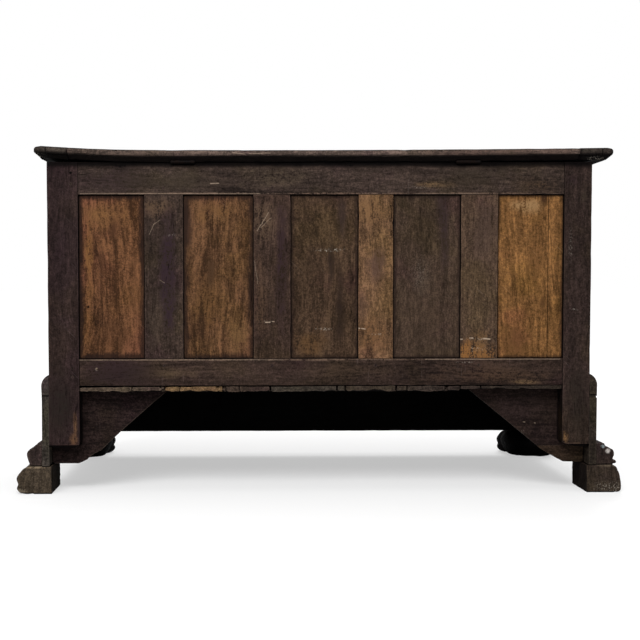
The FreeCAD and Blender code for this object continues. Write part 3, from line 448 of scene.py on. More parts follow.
def round_tip(mesh, side):
    """Shave the top arris of a cleat's outer edge to a round. side is 1 for the +X end of the lid."""
    tip = max(vert.co.x * side for vert in mesh.verts)
    top = max(vert.co.z for vert in mesh.verts if vert.co.x * side > tip - 1 * MM)
    for degrees in (15, 38, 60, 80):
        angle = math.radians(degrees)
        way = Vector((side * math.cos(angle), 0, math.sin(angle)))
        point = Vector((side * (tip - TIP_RADIUS), 0, top - TIP_RADIUS)) + way * TIP_RADIUS
        rim = [part for part in cut(mesh, point, way, clear=True) if isinstance(part, bmesh.types.BMEdge)]
        bmesh.ops.holes_fill(mesh, edges=rim, sides=0)


def worn_member(node, along, body="chest", boxed=True, outline=None):
    """Member with eased, uneven arrises in place of the sharp ones.

    boxed leaves edges alone that aren't on the node's own box. An outline is a lowest and highest corner:
    edges near its sides, such as a lid's, get a full nose.
    """
    mesh = whole_copy(node)
    low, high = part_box(node)
    axis = AXES[along]
    others = [i for i in range(3) if i != axis]
    draw = random.Random(node)
    if outline and along == "y":
        round_tip(mesh, 1 if low.x > 0 else -1)
    slice_across(mesh, axis, low[axis], high[axis], WEAR_STEP, draw)

    def on_arris(edge, least):
        ends = [vert.co for vert in edge.verts]
        if not edge.is_convex or edge.calc_face_angle(0) < math.radians(least):
            return False
        if abs(ends[0][axis] - ends[1][axis]) < 1.5 * MM:
            return False
        return not boxed or all(min(end[i] - low[i], high[i] - end[i]) < 0.05 * MM
                                for i in others for end in ends)

    def on_outline(edge):
        if not outline:
            return False
        start, end = (corner[others[0]] for corner in outline)
        return all(min(vert.co[others[0]] - start, end - vert.co[others[0]]) < 8 * MM for vert in edge.verts)

    eased = []
    if outline:
        rims = [edge for edge in mesh.edges if on_arris(edge, 25) and on_outline(edge)]
        eased += ease(mesh, rims, NOSE, 4)
    rest = [edge for edge in mesh.edges if on_arris(edge, 40) and not on_outline(edge)]
    eased += ease(mesh, rest, ARRIS, 2)
    mesh.normal_update()
    shift = Vector([draw.uniform(0, 50) for _ in range(3)])
    for vert in eased:
        if not vert.is_valid:
            continue
        long_wave = noise.noise(vert.co * 9 + shift)
        short_wave = noise.noise(vert.co * 55 + shift)
        chip = max(0.0, noise.noise(vert.co * 26 - shift) - 0.3) * 3.5
        inward = vert.normal.copy()
        inward[axis] = 0
        if inward.length > 0.5:
            vert.co -= inward.normalized() * DENT * max(0.0, 0.2 + long_wave * 0.5 + short_wave * 0.45 + chip)
    if node in RESHAPES:
        RESHAPES[node](mesh, low)
    make_piece(node, "worn", mesh, body)


def falloff(distance, reach):
    """1 at a place, falling evenly to 0 at a reach to either side."""
    return max(0.0, 1 - abs(distance) / reach)


def worn_leg(*corners):
    """Reshape a post's lower end. Each corner is (x of the side, rise, run towards the middle), in mm."""
    def wear(mesh, low):
        for x, _, run in corners:
            for share in (0.12, 0.28, 0.48, 0.72, 1.0):
                cut_at(mesh, 0, (x + share * run) * MM)
        for vert in mesh.verts:
            for x, rise, run in corners:
                share = falloff(vert.co.x - x * MM, abs(run) * MM)
                ripple = 0.8 * noise.noise(Vector((vert.co.x * 130, vert.co.y * 90, x)))
                vert.co.z = max(vert.co.z, low.z + (rise * share ** 1.6 + ripple * (share > 0)) * MM)
    return wear


# How much further the right rear bracket's slope reaches than a straight one: level and reach, in mm.
FULL_TOE = ((76, 14), (79, 20), (85, 25), (94, 22), (109, 15), (143, 9), (172, 5), (240, 0))


def full_toe(mesh, low):
    """Give the right rear bracket the rounded toe of its slope."""
    for level, _ in FULL_TOE[1:-1]:
        cut_at(mesh, 2, level * MM)
    edge_at = {}
    for vert in mesh.verts:
        level = round(vert.co.z / MM / 4)
        edge_at[level] = min(vert.co.x, edge_at.get(level, 1.0))
    for vert in mesh.verts:
        height = vert.co.z / MM
        reach = FULL_TOE[0][1] if height < FULL_TOE[0][0] else 0.0
        for (start, near), (end, far) in zip(FULL_TOE, FULL_TOE[1:]):
            if start <= height <= end:
                reach = near + (far - near) * (height - start) / (end - start)
        behind = (vert.co.x - edge_at[round(height / 4)]) / (60 * MM)
        vert.co.x -= reach * MM * max(0.0, 1 - behind)


# Carved feet

PLINTH_FACE_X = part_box("plinth_right")[1].x
PLINTH_FACE_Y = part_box("plinth_front")[0].y
PLINTH_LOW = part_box("plinth_right")[0].z
BACK_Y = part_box("rear_foot_right")[1].y
VOXEL = 1.7 * MM
HAIR = 0.05 * MM

# Outlines of a paw and of the scroll on it, in mm: out from the plinth's face, then up from the floor.
PAW_LINE = ((45, 0), (59, 4), (66, 11), (67.5, 18), (64, 27), (67.5, 37), (67, 45), (61, 55), (53, 64),
            (45, 70), (36, 74))
SCROLL_LINE = ((33, 76), (35, 85), (39.5, 95), (41, 106), (38, 115), (31, 120), (25, 121.5), (21, 126),
               (18.5, 131), (12, 133), (6, 132))
WORN_PAW_LINE = ((58, 0), (66, 5), (67.8, 12), (66.5, 32), (61, 55), (54, 69), (44, 74))
WORN_SCROLL_LINE = ((46, 76), (54.5, 80), (52, 86), (45, 90), (49, 101), (47, 112), (38, 119), (30, 121),
                    (24, 127), (21, 132), (12, 133), (6, 132))
RING_STEP, PAW_CORE, PAW_REACH, PAW_TOP, SCROLL_FOOT = 1.5, -6.0, 67.8, 74.7, 74
REAR_TOES = (4, 43, 82, 112)
FRONT_TOES = (-135, -90, -45, 0, 45)


def smooth_line(points, steps=7):
    """Points on a smooth curve through the given ones."""
    spread = [points[0], *points, points[-1]]
    line = []
    for first, second, third, fourth in zip(spread, spread[1:], spread[2:], spread[3:]):
        for step in range(steps):
            t = step / steps
            line.append(tuple(0.5 * (2 * b + (c - a) * t + (2 * a - 5 * b + 4 * c - d) * t * t
                                     + (3 * b - a - 3 * c + d) * t ** 3)
                              for a, b, c, d in zip(first, second, third, fourth)))
    line.append(points[-1])
    return line


def loft(mesh, rings):
    """Add a closed skin through rings with equally many points."""
    rows = [[mesh.verts.new(point) for point in ring] for ring in rings]
    count = len(rows[0])
    for first, second in zip(rows, rows[1:]):
        for i in range(count):
            mesh.faces.new((first[i], first[(i + 1) % count], second[(i + 1) % count], second[i]))
    mesh.faces.new(rows[0][::-1])
    mesh.faces.new(rows[-1])


def lobe(place, centres, half):
    """1 on the middle of the nearest toe, falling to 0 in the grooves between the toes."""
    near = min(abs(place - centre) for centre in centres) / half
    return math.sqrt(max(0.0, 1 - near * near))


def paw_reach(out, up, swell):
    """How far out a paw's outline point stands where its toe has a swell of 0 to 1."""
    claw = 1.0 if up > 26 else max(0.0, min(1.0, (swell - 0.62) / 0.3))
    depth = 0.24 * (1 - swell) + (0.0 if up > 26 else 0.1 * (1 - claw))
    return PAW_CORE + (out - PAW_CORE) * (1 - depth)


def side_paw_rings(line, length, toes):
    """Rings of a paw whose toes lie side by side, from the back forwards. Values in mm."""
    half = length / len(toes) / 2
    for number in range(int(length / RING_STEP) + 1):
        along = min(length, number * RING_STEP)
        swell = lobe(along, toes, half * 1.03)
        outline = [(paw_reach(out, up, swell), up * (0.96 + 0.04 * swell)) for out, up in line]
        yield along, [(-25, 0)] + outline + [(0.6, PAW_TOP), (-25, PAW_TOP)]


def scroll_rings(line, run):
    """Rings of the scroll over a paw, fluted like a leaf, lower towards its far end. Values in mm."""
    for number in range(int(run / RING_STEP) + 1):
        along = min(run, number * RING_STEP)
        taper = max(0.0, (along / run - 0.62) / (1 - 0.62))
        fall = 1 - 0.42 * taper ** 1.6
        flute = abs(math.sin(math.pi * along / 9.0)) ** 0.6
        outline = [(out * (1 - 0.09 * (1 - flute)) * (1 - 0.4 * taper ** 3),
                    SCROLL_FOOT + (up - SCROLL_FOOT) * fall * (0.97 + 0.03 * flute)) for out, up in line]
        end = (-0.3, SCROLL_FOOT + (line[-1][1] - SCROLL_FOOT) * fall)
        yield along, [(-0.3, 70), (line[0][0], 70), *outline, end]


def carve(mesh, node, seed):
    """Make a foot of a rough mesh: one even skin with tool marks, chips and a joint line over the paw."""
    bmesh.ops.recalc_face_normals(mesh, faces=mesh.faces)
    rough = add_mesh("rough_foot", mesh)
    remesh = rough.modifiers.new("even_skin", "REMESH")
    remesh.mode = "VOXEL"
    remesh.voxel_size = VOXEL
    bake(rough)
    skin = rough.data
    even = bmesh.new()
    even.from_mesh(skin)
    bpy.data.objects.remove(rough)
    bpy.data.meshes.remove(skin)
    even.normal_update()
    low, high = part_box(node)
    shift = Vector((seed, seed * 2.3, seed * 0.7))
    for vert in even.verts:
        point = vert.co
        amount = 0.9 * noise.noise(point * 70 + shift) + 0.5 * noise.noise(point * 190 + shift)
        if point.z > PLINTH_LOW + 1.5 * MM:
            flat = Vector((point.x * 160, point.y * 160, point.z * 22))
            amount -= 1.1 * max(0.0, noise.noise(flat + shift)) * (1.6 if abs(vert.normal.y) > 0.8 else 0.8)
        amount -= 5 * max(0.0, noise.noise(point * 45 - shift) - 0.34)
        amount -= 2.6 * falloff(point.z - PLINTH_LOW, 2.4 * MM)
        vert.co = point + vert.normal * (amount * MM)
        for i in range(3):
            vert.co[i] = min(max(vert.co[i], low[i] + (0 if i == 2 else HAIR)), high[i] - HAIR)
    make_piece(node, "carved", even)


def rear_foot(node, sign, paw_line, scroll_line, seed):
    low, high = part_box(node)
    length = (high.y - low.y) / MM
    mesh = bmesh.new()

    def placed(along, outline):
        return [(sign * (PLINTH_FACE_X + out * MM), BACK_Y - along * MM, up * MM) for out, up in outline]

    loft(mesh, [placed(*ring) for ring in side_paw_rings(smooth_line(paw_line), length, REAR_TOES)])
    loft(mesh, [placed(*ring) for ring in scroll_rings(smooth_line(scroll_line), length - 2)])
    carve(mesh, node, seed)


def front_foot(node, sign, seed):
    reach = 95.0
    inset = (PAW_REACH - reach) * MM
    centre = Vector((PLINTH_FACE_X + inset, PLINTH_FACE_Y - inset, 0))
    mesh = bmesh.new()
    rings = []
    for out, up in [(0.0, 0.0)] + smooth_line(PAW_LINE) + [(-25.0, PAW_TOP)]:
        ring = []
        for step in range(240):
            turn = step * 1.5 - 180
            swell = lobe(turn, FRONT_TOES, 23.2)
            behind = min(1.0, max(0.0, (abs((turn + 45 + 180) % 360 - 180) - 104) / 26))
            toe = reach - PAW_REACH + paw_reach(out, up, swell)
            heel = 50 + 24 * math.sin(math.pi * min(1.0, up / PAW_TOP) * 0.8)
            far = (toe * (1 - behind) + min(toe, heel) * behind) * MM
            angle = math.radians(turn)
            ring.append((sign * (centre.x + far * math.cos(angle)), centre.y + far * math.sin(angle),
                         up * MM))
        rings.append(ring)
    loft(mesh, rings)

    # The scroll runs along both faces of the plinth and turns round its corner.
    scroll = smooth_line(SCROLL_LINE)
    side_rings, front_rings, corner_rings = [], [], []
    for along, outline in scroll_rings(scroll, 71 + 20):
        shift = along - 20
        side_rings.append([(sign * (PLINTH_FACE_X + out * MM), PLINTH_FACE_Y + shift * MM, up * MM)
                           for out, up in outline])
        front_rings.append([(sign * (PLINTH_FACE_X - shift * MM), PLINTH_FACE_Y - out * MM, up * MM)
                            for out, up in outline])
    for out, up in [(0.0, 70.0), (33.0, 70.0)] + scroll + [(0.0, 132.0)]:
        ring = []
        for step in range(17):
            angle = math.radians(-90 + step * 5.625)
            far = out * (1 - 0.05 * (1 - abs(math.sin(math.pi * step / 4)) ** 0.6)) * MM
            ring.append((sign * (PLINTH_FACE_X + far * math.cos(angle)),
                         PLINTH_FACE_Y + far * math.sin(angle), up * MM))
        ring.append((sign * (PLINTH_FACE_X + 0.2 * MM), PLINTH_FACE_Y - 0.2 * MM, up * MM))
        corner_rings.append(ring)
    for scroll_part in (side_rings, front_rings, corner_rings):
        loft(mesh, scroll_part)
    carve(mesh, node, seed)


# Bottom boards

WORN_RUN, SLOT_RUN, CORNER_RUN = 9.0 * MM, 40.0 * MM, 4.5


def ragged_board(node, lifts, gaps, splits):
    """Bottom board whose back end is worn, split and uneven, in mm.

    lifts raise its lower edge at the left, middle and right as seen from behind, gaps lower its upper edge
    at the left and right, and splits are (x, half width, depth, slant).
    """
    mesh = whole_copy(node)
    low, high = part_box(node)
    slice_across(mesh, 0, low.x, high.x, 3.2 * MM, random.Random(node))
    for x, half, _, _ in splits:
        for place in (x - half, x, x + half):
            cut_at(mesh, 0, place * MM)
    for inset in (1.2, 4.0, 9.0, 20.0, 42.0):
        cut_at(mesh, 1, high.y - inset * MM)
    middle = (low.z + high.z) / 2
    left, centre, right = lifts
    for vert in mesh.verts:
        inset = high.y - vert.co.y
        end = max(0.0, 1 - inset / WORN_RUN)
        slot = max(0.0, 1 - inset / SLOT_RUN)
        if slot <= 0:
            continue
        across = (high.x - vert.co.x) / (high.x - low.x)
        bow = (centre - (left + right) / 2) * 4 * across * (1 - across)
        lift = left * (1 - across) + right * across + bow
        gap = gaps[0] * (1 - across) + gaps[1] * across
        wave = noise.noise(Vector((vert.co.x * 24, 0, low.x * 90)))
        jag = noise.noise(Vector((vert.co.x * 170, vert.co.z * 60, low.x * 90)))
        side = min(high.x - vert.co.x, vert.co.x - low.x) / MM
        corner = max(0.0, 1 - side / CORNER_RUN) ** 1.6
        if vert.co.z < middle:
            vert.co.z += max(0.0, lift + wave * 5.0 + jag * 1.6 + corner * 2.6) * MM * end
            for x, half, depth, slant in splits:
                vert.co.z += falloff(vert.co.x - (x + slant) * MM, half * MM) * depth * 0.7 * MM * end
        else:
            bite = max(0.0, jag * 1.4 + corner * 0.8) * MM * end
            vert.co.z -= max(0.0, gap + 1.0 + wave * 1.6) * MM * slot + bite
        back = max(0.0, 0.3 + wave * 0.5 + jag * 0.8) * 1.8 + corner * (4 + 5 * jag)
        for x, half, depth, slant in splits:
            place = (x + (slant if vert.co.z < middle else 0)) * MM
            back += depth * falloff(vert.co.x - place, half * MM)
        vert.co.y -= max(0.0, back) * MM * end
    make_piece(node, "ragged", mesh)


# Camera, light and floor

def make_camera():
    """Camera where the photograph was taken: behind the chest, a little left of its middle as seen there."""
    data = bpy.data.cameras.new("camera")
    data.sensor_width = 36.0
    data.lens = 54.42
    data.shift_x = 0.0908
    data.clip_end = 200
    camera = add_object("camera", data)
    turn = Matrix.Rotation(math.pi - 0.00947, 4, "Z")
    tip = Matrix.Rotation(math.pi / 2 - 0.03892, 4, "X")
    roll = Matrix.Rotation(-0.0014, 4, "Z")
    camera.matrix_world = Matrix.Translation((0.17841, 2.89935, 0.56327)) @ turn @ tip @ roll
    bpy.context.scene.camera = camera


def add_lamp(name, place, target, width, height, power):
    data = bpy.data.lights.new(name, "AREA")
    data.shape = "RECTANGLE"
    data.size = width
    data.size_y = height
    data.energy = power
    lamp = add_object(name, data)
    lamp.location = place
    lamp.rotation_euler = (Vector(target) - Vector(place)).to_track_quat("-Z", "Y").to_euler()


def make_studio():
    """White surroundings for the camera, soft even light, and a pale floor that keeps the shadow."""
    world = bpy.data.worlds.new("studio")
    bpy.context.scene.world = world
    world.use_nodes = True
    wiring = Wiring(world.node_tree)
    camera = wiring.node("ShaderNodeLightPath")
    background = world.node_tree.nodes["Background"].inputs
    wiring.feed(background["Strength"], wiring.node("ShaderNodeMapRange", None, camera, 0, 1, 0.42, 1))
    wiring.feed(background["Color"], (1, 1, 1, 1))
    add_lamp("high_softbox", (0.9, 3.2, 3.6), (0, 0.2, 0.5), 3.0, 1.8, 150)
    add_lamp("front_softbox", (-0.9, -3.4, 3.4), (0, -0.2, 0.5), 3.0, 1.8, 130)
    add_lamp("top_softbox", (0, 0, 3.8), (0, 0, 0), 2.4, 2.4, 40)

    mesh = bmesh.new()
    bmesh.ops.create_grid(mesh, x_segments=1, y_segments=1, size=60)
    floor = add_mesh("floor", mesh)
    finish = Finish("pale_floor", (0.5, 0.5, 0.5, 1))
    xs, ys, _ = finish.parts(finish.place())
    far = ((xs * xs + ys * ys) ** 0.5).rise(1.2, 2.6)
    glow = finish.mix(far, (0.5, 0.5, 0.5, 1), (1, 1, 1, 1))
    glow = finish.mix(finish.node("ShaderNodeLightPath"), (0, 0, 0, 1), glow)
    finish.coat(far, (0.12, 0.12, 0.12, 1))
    floor.data.materials.append(finish.done(Roughness=0.9, Specular_IOR_Level=0.0, Emission_Color=glow,
                                            Emission_Strength=1.0))


# Pegs and nails

PEG_INSET = 17.5 * MM
PEG_SUNK = 1.0 * MM
NAIL_SUNK = 0.9 * MM
PEG_HOLE = (657, 852)


def stud_tree():
    """Tree that sets a small head on every point, square to its face, a little turned and tilted."""
    tree = bpy.data.node_groups.new("stud_heads", "GeometryNodeTree")
    for name, kind in {"Places": "Geometry", "Foot radius": "Float", "Crown radius": "Float",
                       "Height": "Float", "Sides": "Int", "Tilt": "Float", "Seed": "Int",
                       "Finish": "Material"}.items():
        tree.interface.new_socket(name, in_out="INPUT", socket_type=f"NodeSocket{kind}")
    tree.interface.new_socket("Heads", in_out="OUTPUT", socket_type="NodeSocketGeometry")
    wiring = Wiring(tree)
    entry = tree.nodes.new("NodeGroupInput")
    given = {socket.name: Value(wiring, socket) for socket in entry.outputs}
    head = wiring.node("GeometryNodeMeshCone", {"fill_type": "NGON"}, given["Sides"], 1, 1,
                       given["Crown radius"], given["Foot radius"], given["Height"])
    facing = wiring.node("GeometryNodeInputNamedAttribute", {"data_type": "FLOAT_VECTOR"}, "facing")
    square = wiring.node("FunctionNodeAlignRotationToVector", {"axis": "Z"}, Vector=facing)

    def random_vector(least, most, seed):
        return wiring.node("FunctionNodeRandomValue", {"data_type": "FLOAT_VECTOR"}, Min=least, Max=most,
                           Seed=seed)

    tilt = given["Tilt"]
    turns = random_vector(wiring.vector(tilt * -1, tilt * -1, 0.0), wiring.vector(tilt, tilt, math.tau),
                          given["Seed"])
    turned = wiring.node("FunctionNodeEulerToRotation", None, turns)
    turned = wiring.node("FunctionNodeRotateRotation", {"rotation_space": "LOCAL"}, square, turned)
    sizes = random_vector((0.82, 0.82, 0.85), (1.12, 1.12, 1.1), given["Seed"] + 7)
    heads = wiring.node("GeometryNodeInstanceOnPoints", None, Points=given["Places"], Instance=head,
                        Rotation=turned, Scale=sizes)
    heads = wiring.node("GeometryNodeRealizeInstances", None, heads)
    heads = wiring.node("GeometryNodeSetMaterial", None, Geometry=heads, Material=given["Finish"])
    wiring.feed(tree.nodes.new("NodeGroupOutput").inputs[0], heads)
    return tree


def set_studs(name, places, body, sizes):
    """One mesh of heads for a body. places are (point, facing); sizes go to the tree's named inputs."""
    data = bpy.data.meshes.new(name)
    data.from_pydata([point for point, _ in places], [], [])
    facing = data.attributes.new("facing", "FLOAT_VECTOR", "POINT")
    for row, (_, way) in zip(facing.data, places):
        row.vector = way
    heads = add_object(name, data)
    modifier = heads.modifiers.new("heads", "NODES")
    modifier.node_group = studs
    for item in studs.interface.items_tree:
        if item.name in sizes:
            modifier[item.identifier] = sizes[item.name]
    bake(heads)
    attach(heads, body)


def on_surface(node, start, way, sunk=NAIL_SUNK):
    """Where a line from start towards way first meets a node, sunk a little, and the way that face looks."""
    mesh = whole_copy(node)
    hit, normal, _, _ = BVHTree.FromBMesh(mesh).ray_cast(Vector(start), Vector(way))
    mesh.free()
    return hit - normal * sunk, normal


def frame_pegs(posts, muntins, rails, axis, sign, low_limit=0.0):
    """Pegs through the tenons of one framed side, which looks along sign times an axis."""
    along = 1 - axis
    middle = (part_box(rails[0])[0][along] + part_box(rails[0])[1][along]) / 2
    spots = []
    for post in posts:
        low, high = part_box(post)
        outward = -1 if high[along] < middle else 1
        inner = high[along] if outward < 0 else low[along]
        for rail in rails:
            bottom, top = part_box(rail)[0].z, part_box(rail)[1].z
            for share in (0.33, 0.67):
                spots.append((post, inner + outward * PEG_INSET, bottom + share * (top - bottom)))
    for muntin in muntins:
        low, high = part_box(muntin)
        for rail, inward in zip(rails, (1, -1)):
            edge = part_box(rail)[0].z if inward > 0 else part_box(rail)[1].z
            spots.append((rail, (low[along] + high[along]) / 2, edge + inward * PEG_INSET))
    for node, place, height in spots:
        if height > low_limit:
            start = Vector((0, 0, height)) + axis_vector(along, place) + axis_vector(axis, 2 * sign)
            yield on_surface(node, start, axis_vector(axis, -sign), PEG_SUNK)


def chest_pegs():
    plinth_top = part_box("plinth_front")[1].z
    # One peg is gone: its hole shows near the top of the post.
    hole = Vector((PEG_HOLE[0] * MM, BACK_Y, PEG_HOLE[1] * MM))
    pegs = [peg for peg in frame_pegs(("back_post_left", "back_post_right"), BACK_MUNTINS,
                                      ("back_top_rail", "back_bottom_rail"), 1, 1)
            if (peg[0] - hole).length > 6 * MM]
    pegs += frame_pegs(("front_post_left", "front_post_right"), ("front_muntin_1", "front_muntin_2"),
                       ("front_top_rail", "front_bottom_rail"), 1, -1, plinth_top)
    for side, sign in (("left", -1), ("right", 1)):
        pegs += frame_pegs((f"front_post_{side}", f"back_post_{side}"), (f"{side}_muntin",),
                           (f"{side}_top_rail", f"{side}_bottom_rail"), 0, sign, plinth_top)
    return pegs


def lid_pegs():
    """Pegs through the tongue of the lid's boards, from the top of each cleat."""
    return [on_surface(node, (x, y, 2), (0, 0, -1), PEG_SUNK)
            for node, x in (("lid_cleat_left", -0.712), ("lid_cleat_right", 0.693))
            for y in (-0.24, -0.12, 0.0, 0.13, 0.27)]


def chest_nails():
    spots = []
    for x in (-0.684, -0.35, 0.0, 0.35, 0.684):
        heights = (0.125, 0.262) if abs(x) > 0.5 else (0.262,)
        spots += [("plinth_front", (x, -2, z), (0, 1, 0)) for z in heights]
    for node, sign in (("plinth_left", -1), ("plinth_right", 1)):
        spots += [(node, (2 * sign, y, z), (-sign, 0, 0))
                  for y, z in ((-0.235, 0.16), (-0.235, 0.255), (0.03, 0.255), (0.31, 0.16), (0.31, 0.255))]
    spots += [("lock_escutcheon", (x, -2, z), (0, 1, 0))
              for x, z in ((-0.018, 0.84), (0.018, 0.84), (0.0, 0.805))]
    spots += [("lock_case", (x, 0, z), (0, -1, 0)) for x in (-0.042, 0.042) for z in (0.822, 0.871)]
    for number in BOARDS:
        node = f"bottom_board_{number}"
        low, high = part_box(node)
        spots += [(node, (low.x + share * (high.x - low.x), y, 0), (0, 0, 1))
                  for share in (0.28, 0.72) for y in (-0.247, 0.318)]
    return [on_surface(*spot) for spot in spots]


bpy.context.scene.view_settings.view_transform = "Standard"
make_camera()
make_studio()

# Finishes: a tone and marks for every piece. Places are x and z of the marks on the back, in mm.

BACK_MUNTINS = [f"back_muntin_{number}" for number in range(1, 5)]
iron = old_iron("rusty_iron")
# The hinges sit under the lid's overhang, so their iron is darkened as painted shade.
sooty_iron = old_iron("sooty_hinge_iron", 0.75)
finishes = {"hinge_leaves_rail": sooty_iron, "hinge_leaves_lid": sooty_iron, "hinge_pins": sooty_iron}
seeds = iter(range(1, 200))


def dress(tone, *pieces, along="z", **how):
    """One finish for some pieces."""
    material = old_wood(f"{pieces[0]}_wood", tone, along, next(seeds), **how)
    for piece in pieces:
        finishes[piece] = material


def box_rim(node, width, amount):
    """Edges of a panel as they show inside its grooves."""
    low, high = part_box(node)
    tongue = 9.8 * MM
    shown = (low.x + tongue, high.x - tongue, low.z + tongue, high.z - tongue)
    return (*(value / MM for value in shown), width, amount)


# Tone and wear of the seven bottom boards: see ragged_board. Number 7 is at the left as seen from behind.
BOARDS = {1: ((52, 44, 38), (0.5, 1.0, 0.5), (1.6, 0.8), ((-430, 1.5, 6, 1), (-368, 8, 8, 0))),
          2: ((64, 54, 48), (3.0, 2.0, 4.0), (1.2, 2.2), ((-340, 7, 8, 3),)),
          3: ((63, 53, 46), (3.0, 3.6, 3.0), (1.6, 1.2), ((-205, 2.5, 8, 2),)),
          4: ((61, 54, 47), (0.0, 2.2, 5.0), (3.0, 1.4), ((134, 5, 8, -3), (-46, 3, 8, 1))),
          5: ((65, 53, 45), (0.3, 0.4, 3.4), (1.8, 2.2), ((256, 8, 8, -4), (215, 1.6, 5, -2))),
          6: ((112, 89, 62), (2.6, 1.6, 0.0), (3.0, 0.8), ((270, 9, 8, -6), (372, 1.5, 5, 2))),
          7: ((78, 66, 55), (1.6, 2.6, 4.0), (5.0, 2.2), ((424, 4, 7, -5), (500, 1.8, 6, 0)))}
NAIL_HOLES = [(494.5, 285.5, 2.2, 2.2, BLACK, 1.4), (476.5, 278, 2.2, 2.2, BLACK, 1.4)]
FOOT_SEAM = [("z", PLINTH_LOW / MM + 0.5, 2.2)]
MUNTIN_ENDS = [("z", 794.2, 1.2), ("z", 360.8, 1.2)]
RAIL_ENDS = [("x", 638.5, 1.2), ("x", -647, 1.2)]
# A soft near-black band just under the lid: the lid's shadow, painted.
GRIME = (0, 890, 1600, 24, (10, 8, 8), 1.7)
PURPLE, MOSS, ASH = (52, 38, 42), (58, 50, 40), (92, 82, 72)

# Back posts and top rail: inner_dark and under_lid paint shade, and GRIME the lid's shadow.
dress((52, 39, 38), "back_post_right", contrast=0.95, stain=0.45, figure=0.2, inner_dark=0.85, under_lid=True,
      patches=[(651, 185, 7, 45, (112, 82, 60), 1.1), (656, 145, 13, 22, (108, 78, 58), 1.1),
               (675, 128, 40, 7, (92, 66, 58), 1.0), (690, 240, 50, 120, (40, 34, 30), 0.9),
               (690, 660, 30, 120, PURPLE, 0.5), (*PEG_HOLE, 5.5, 5, BLACK, 3.0), GRIME])
dress((54, 42, 38), "back_post_left", stain=0.45, figure=0.2, inner_dark=0.85, under_lid=True,
      patches=[(-646, 190, 7, 45, (104, 78, 56), 1.0), (-655, 150, 14, 20, (128, 96, 64), 1.2),
               (-680, 128, 40, 8, (104, 80, 64), 1.0), (-690, 240, 40, 120, (44, 38, 32), 0.7),
               (-670, 830, 20, 20, PURPLE, 0.6), (-700, 790, 20, 30, MOSS, 0.6), GRIME],
      flecks=[(-675, 490, 14, 4, 0.4), (-665, 660, 6, 50, 0.25)])
dress((50, 38, 33), "front_post_left", "front_post_right", contrast=0.8, gloss=0.12)
# The pale patch and scratches at z 797 along its lower arris are a painted highlight.
dress((64, 52, 46), "back_top_rail", along="x", stain=0.45, figure=0.3, under_lid=True, seams=RAIL_ENDS,
      patches=[(-290, 822, 60, 12, (116, 92, 66), 0.8), (550, 830, 140, 50, PURPLE, 0.6),
               (120, 840, 100, 40, (84, 72, 56), 0.5), (-580, 820, 80, 30, (84, 64, 44), 0.6),
               (-420, 850, 100, 30, MOSS, 0.5), (380, 830, 160, 30, MOSS, 0.5), GRIME,
               (0, 797.6, 800, 2.8, (116, 94, 80), 1.3)],
      scratches=[(266, 824.5, 287, 823.8, 2.2, 0.7), (635, 797.5, 160, 797.2, 1.8, 0.36),
                 (-250, 797, -420, 797.2, 1.3, 0.25)], flecks=[(-260, 813, 40, 4, 0.4)])
# The pale patch and scratches at z 357 to 358 along its upper arris are a painted highlight.
dress((57, 44, 38), "back_bottom_rail", along="x", stain=0.4, figure=0.3, seams=RAIL_ENDS,
      patches=[(400, 320, 100, 24, (96, 78, 60), 0.7), (-460, 315, 160, 30, (84, 63, 45), 0.7),
               (560, 330, 100, 40, PURPLE, 0.7), (-543, 297, 50, 8, (128, 102, 74), 0.8),
               (-100, 330, 200, 30, (74, 58, 46), 0.5), (593, 334, 4, 4, (150, 128, 104), 1.2),
               (0, 357.4, 800, 2.8, (110, 90, 76), 1.3), (500, 315, 130, 50, (50, 38, 37), 0.7),
               (-450, 330, 200, 40, (78, 60, 49), 0.7)],
      scratches=[(640, 357.8, 100, 357.6, 1.4, 0.4), (-280, 357.8, -640, 357.6, 1.6, 0.42)],
      flecks=[(593, 334, 5, 5, 0.8), (-390, 350, 30, 3, 0.4)])
dress((65, 52, 45), "back_muntin_4", seams=MUNTIN_ENDS, figure=0.5, stain=0.4,
      patches=[(440, 765, 50, 30, (104, 82, 62), 0.8), (402, 580, 26, 170, (54, 40, 45), 1.3),
               (440, 450, 30, 100, MOSS, 0.4)], flecks=[(392, 689, 10, 6, 0.4)],
      scratches=[(450.5, 691, 437, 717, 1.4, 0.4), (437, 717, 421, 728, 1.4, 0.35),
                 (424, 570, 410, 562, 1.4, 0.3)])
dress((68, 52, 44), "back_muntin_3", seams=MUNTIN_ENDS, figure=0.6, stain=0.35,
      patches=[(148, 720, 35, 60, (100, 80, 64), 0.9), (102, 590, 20, 180, (56, 41, 43), 1.3),
               (155, 500, 20, 140, (92, 70, 52), 0.6)], flecks=[(139, 458, 20, 5, 0.8)],
      scratches=[(167, 699, 134.6, 747.6, 1.5, 0.5), (156.5, 708, 130, 733, 1.4, 0.35),
                 (172, 620, 166, 560, 1.4, 0.3), (143, 457, 133, 457.5, 1.8, 1.1),
                 (126.5, 459, 121, 459, 1.5, 1.0)])
dress((106, 79, 57), "back_muntin_2", seams=MUNTIN_ENDS, figure=0.45, stain=0.25, broad=1.3,
      patches=[(-125, 760, 60, 40, (134, 100, 68), 0.8), (-150, 600, 30, 60, (80, 60, 56), 0.7),
               (-140, 420, 50, 50, (124, 88, 56), 0.6), (-110, 500, 20, 50, PURPLE, 0.5)],
      flecks=[(-150, 425, 20, 3, 0.5)],
      scratches=[(-94, 442.5, -107, 440.5, 2.4, 1.2), (-111, 440.5, -121, 439, 1.8, 1.0)])
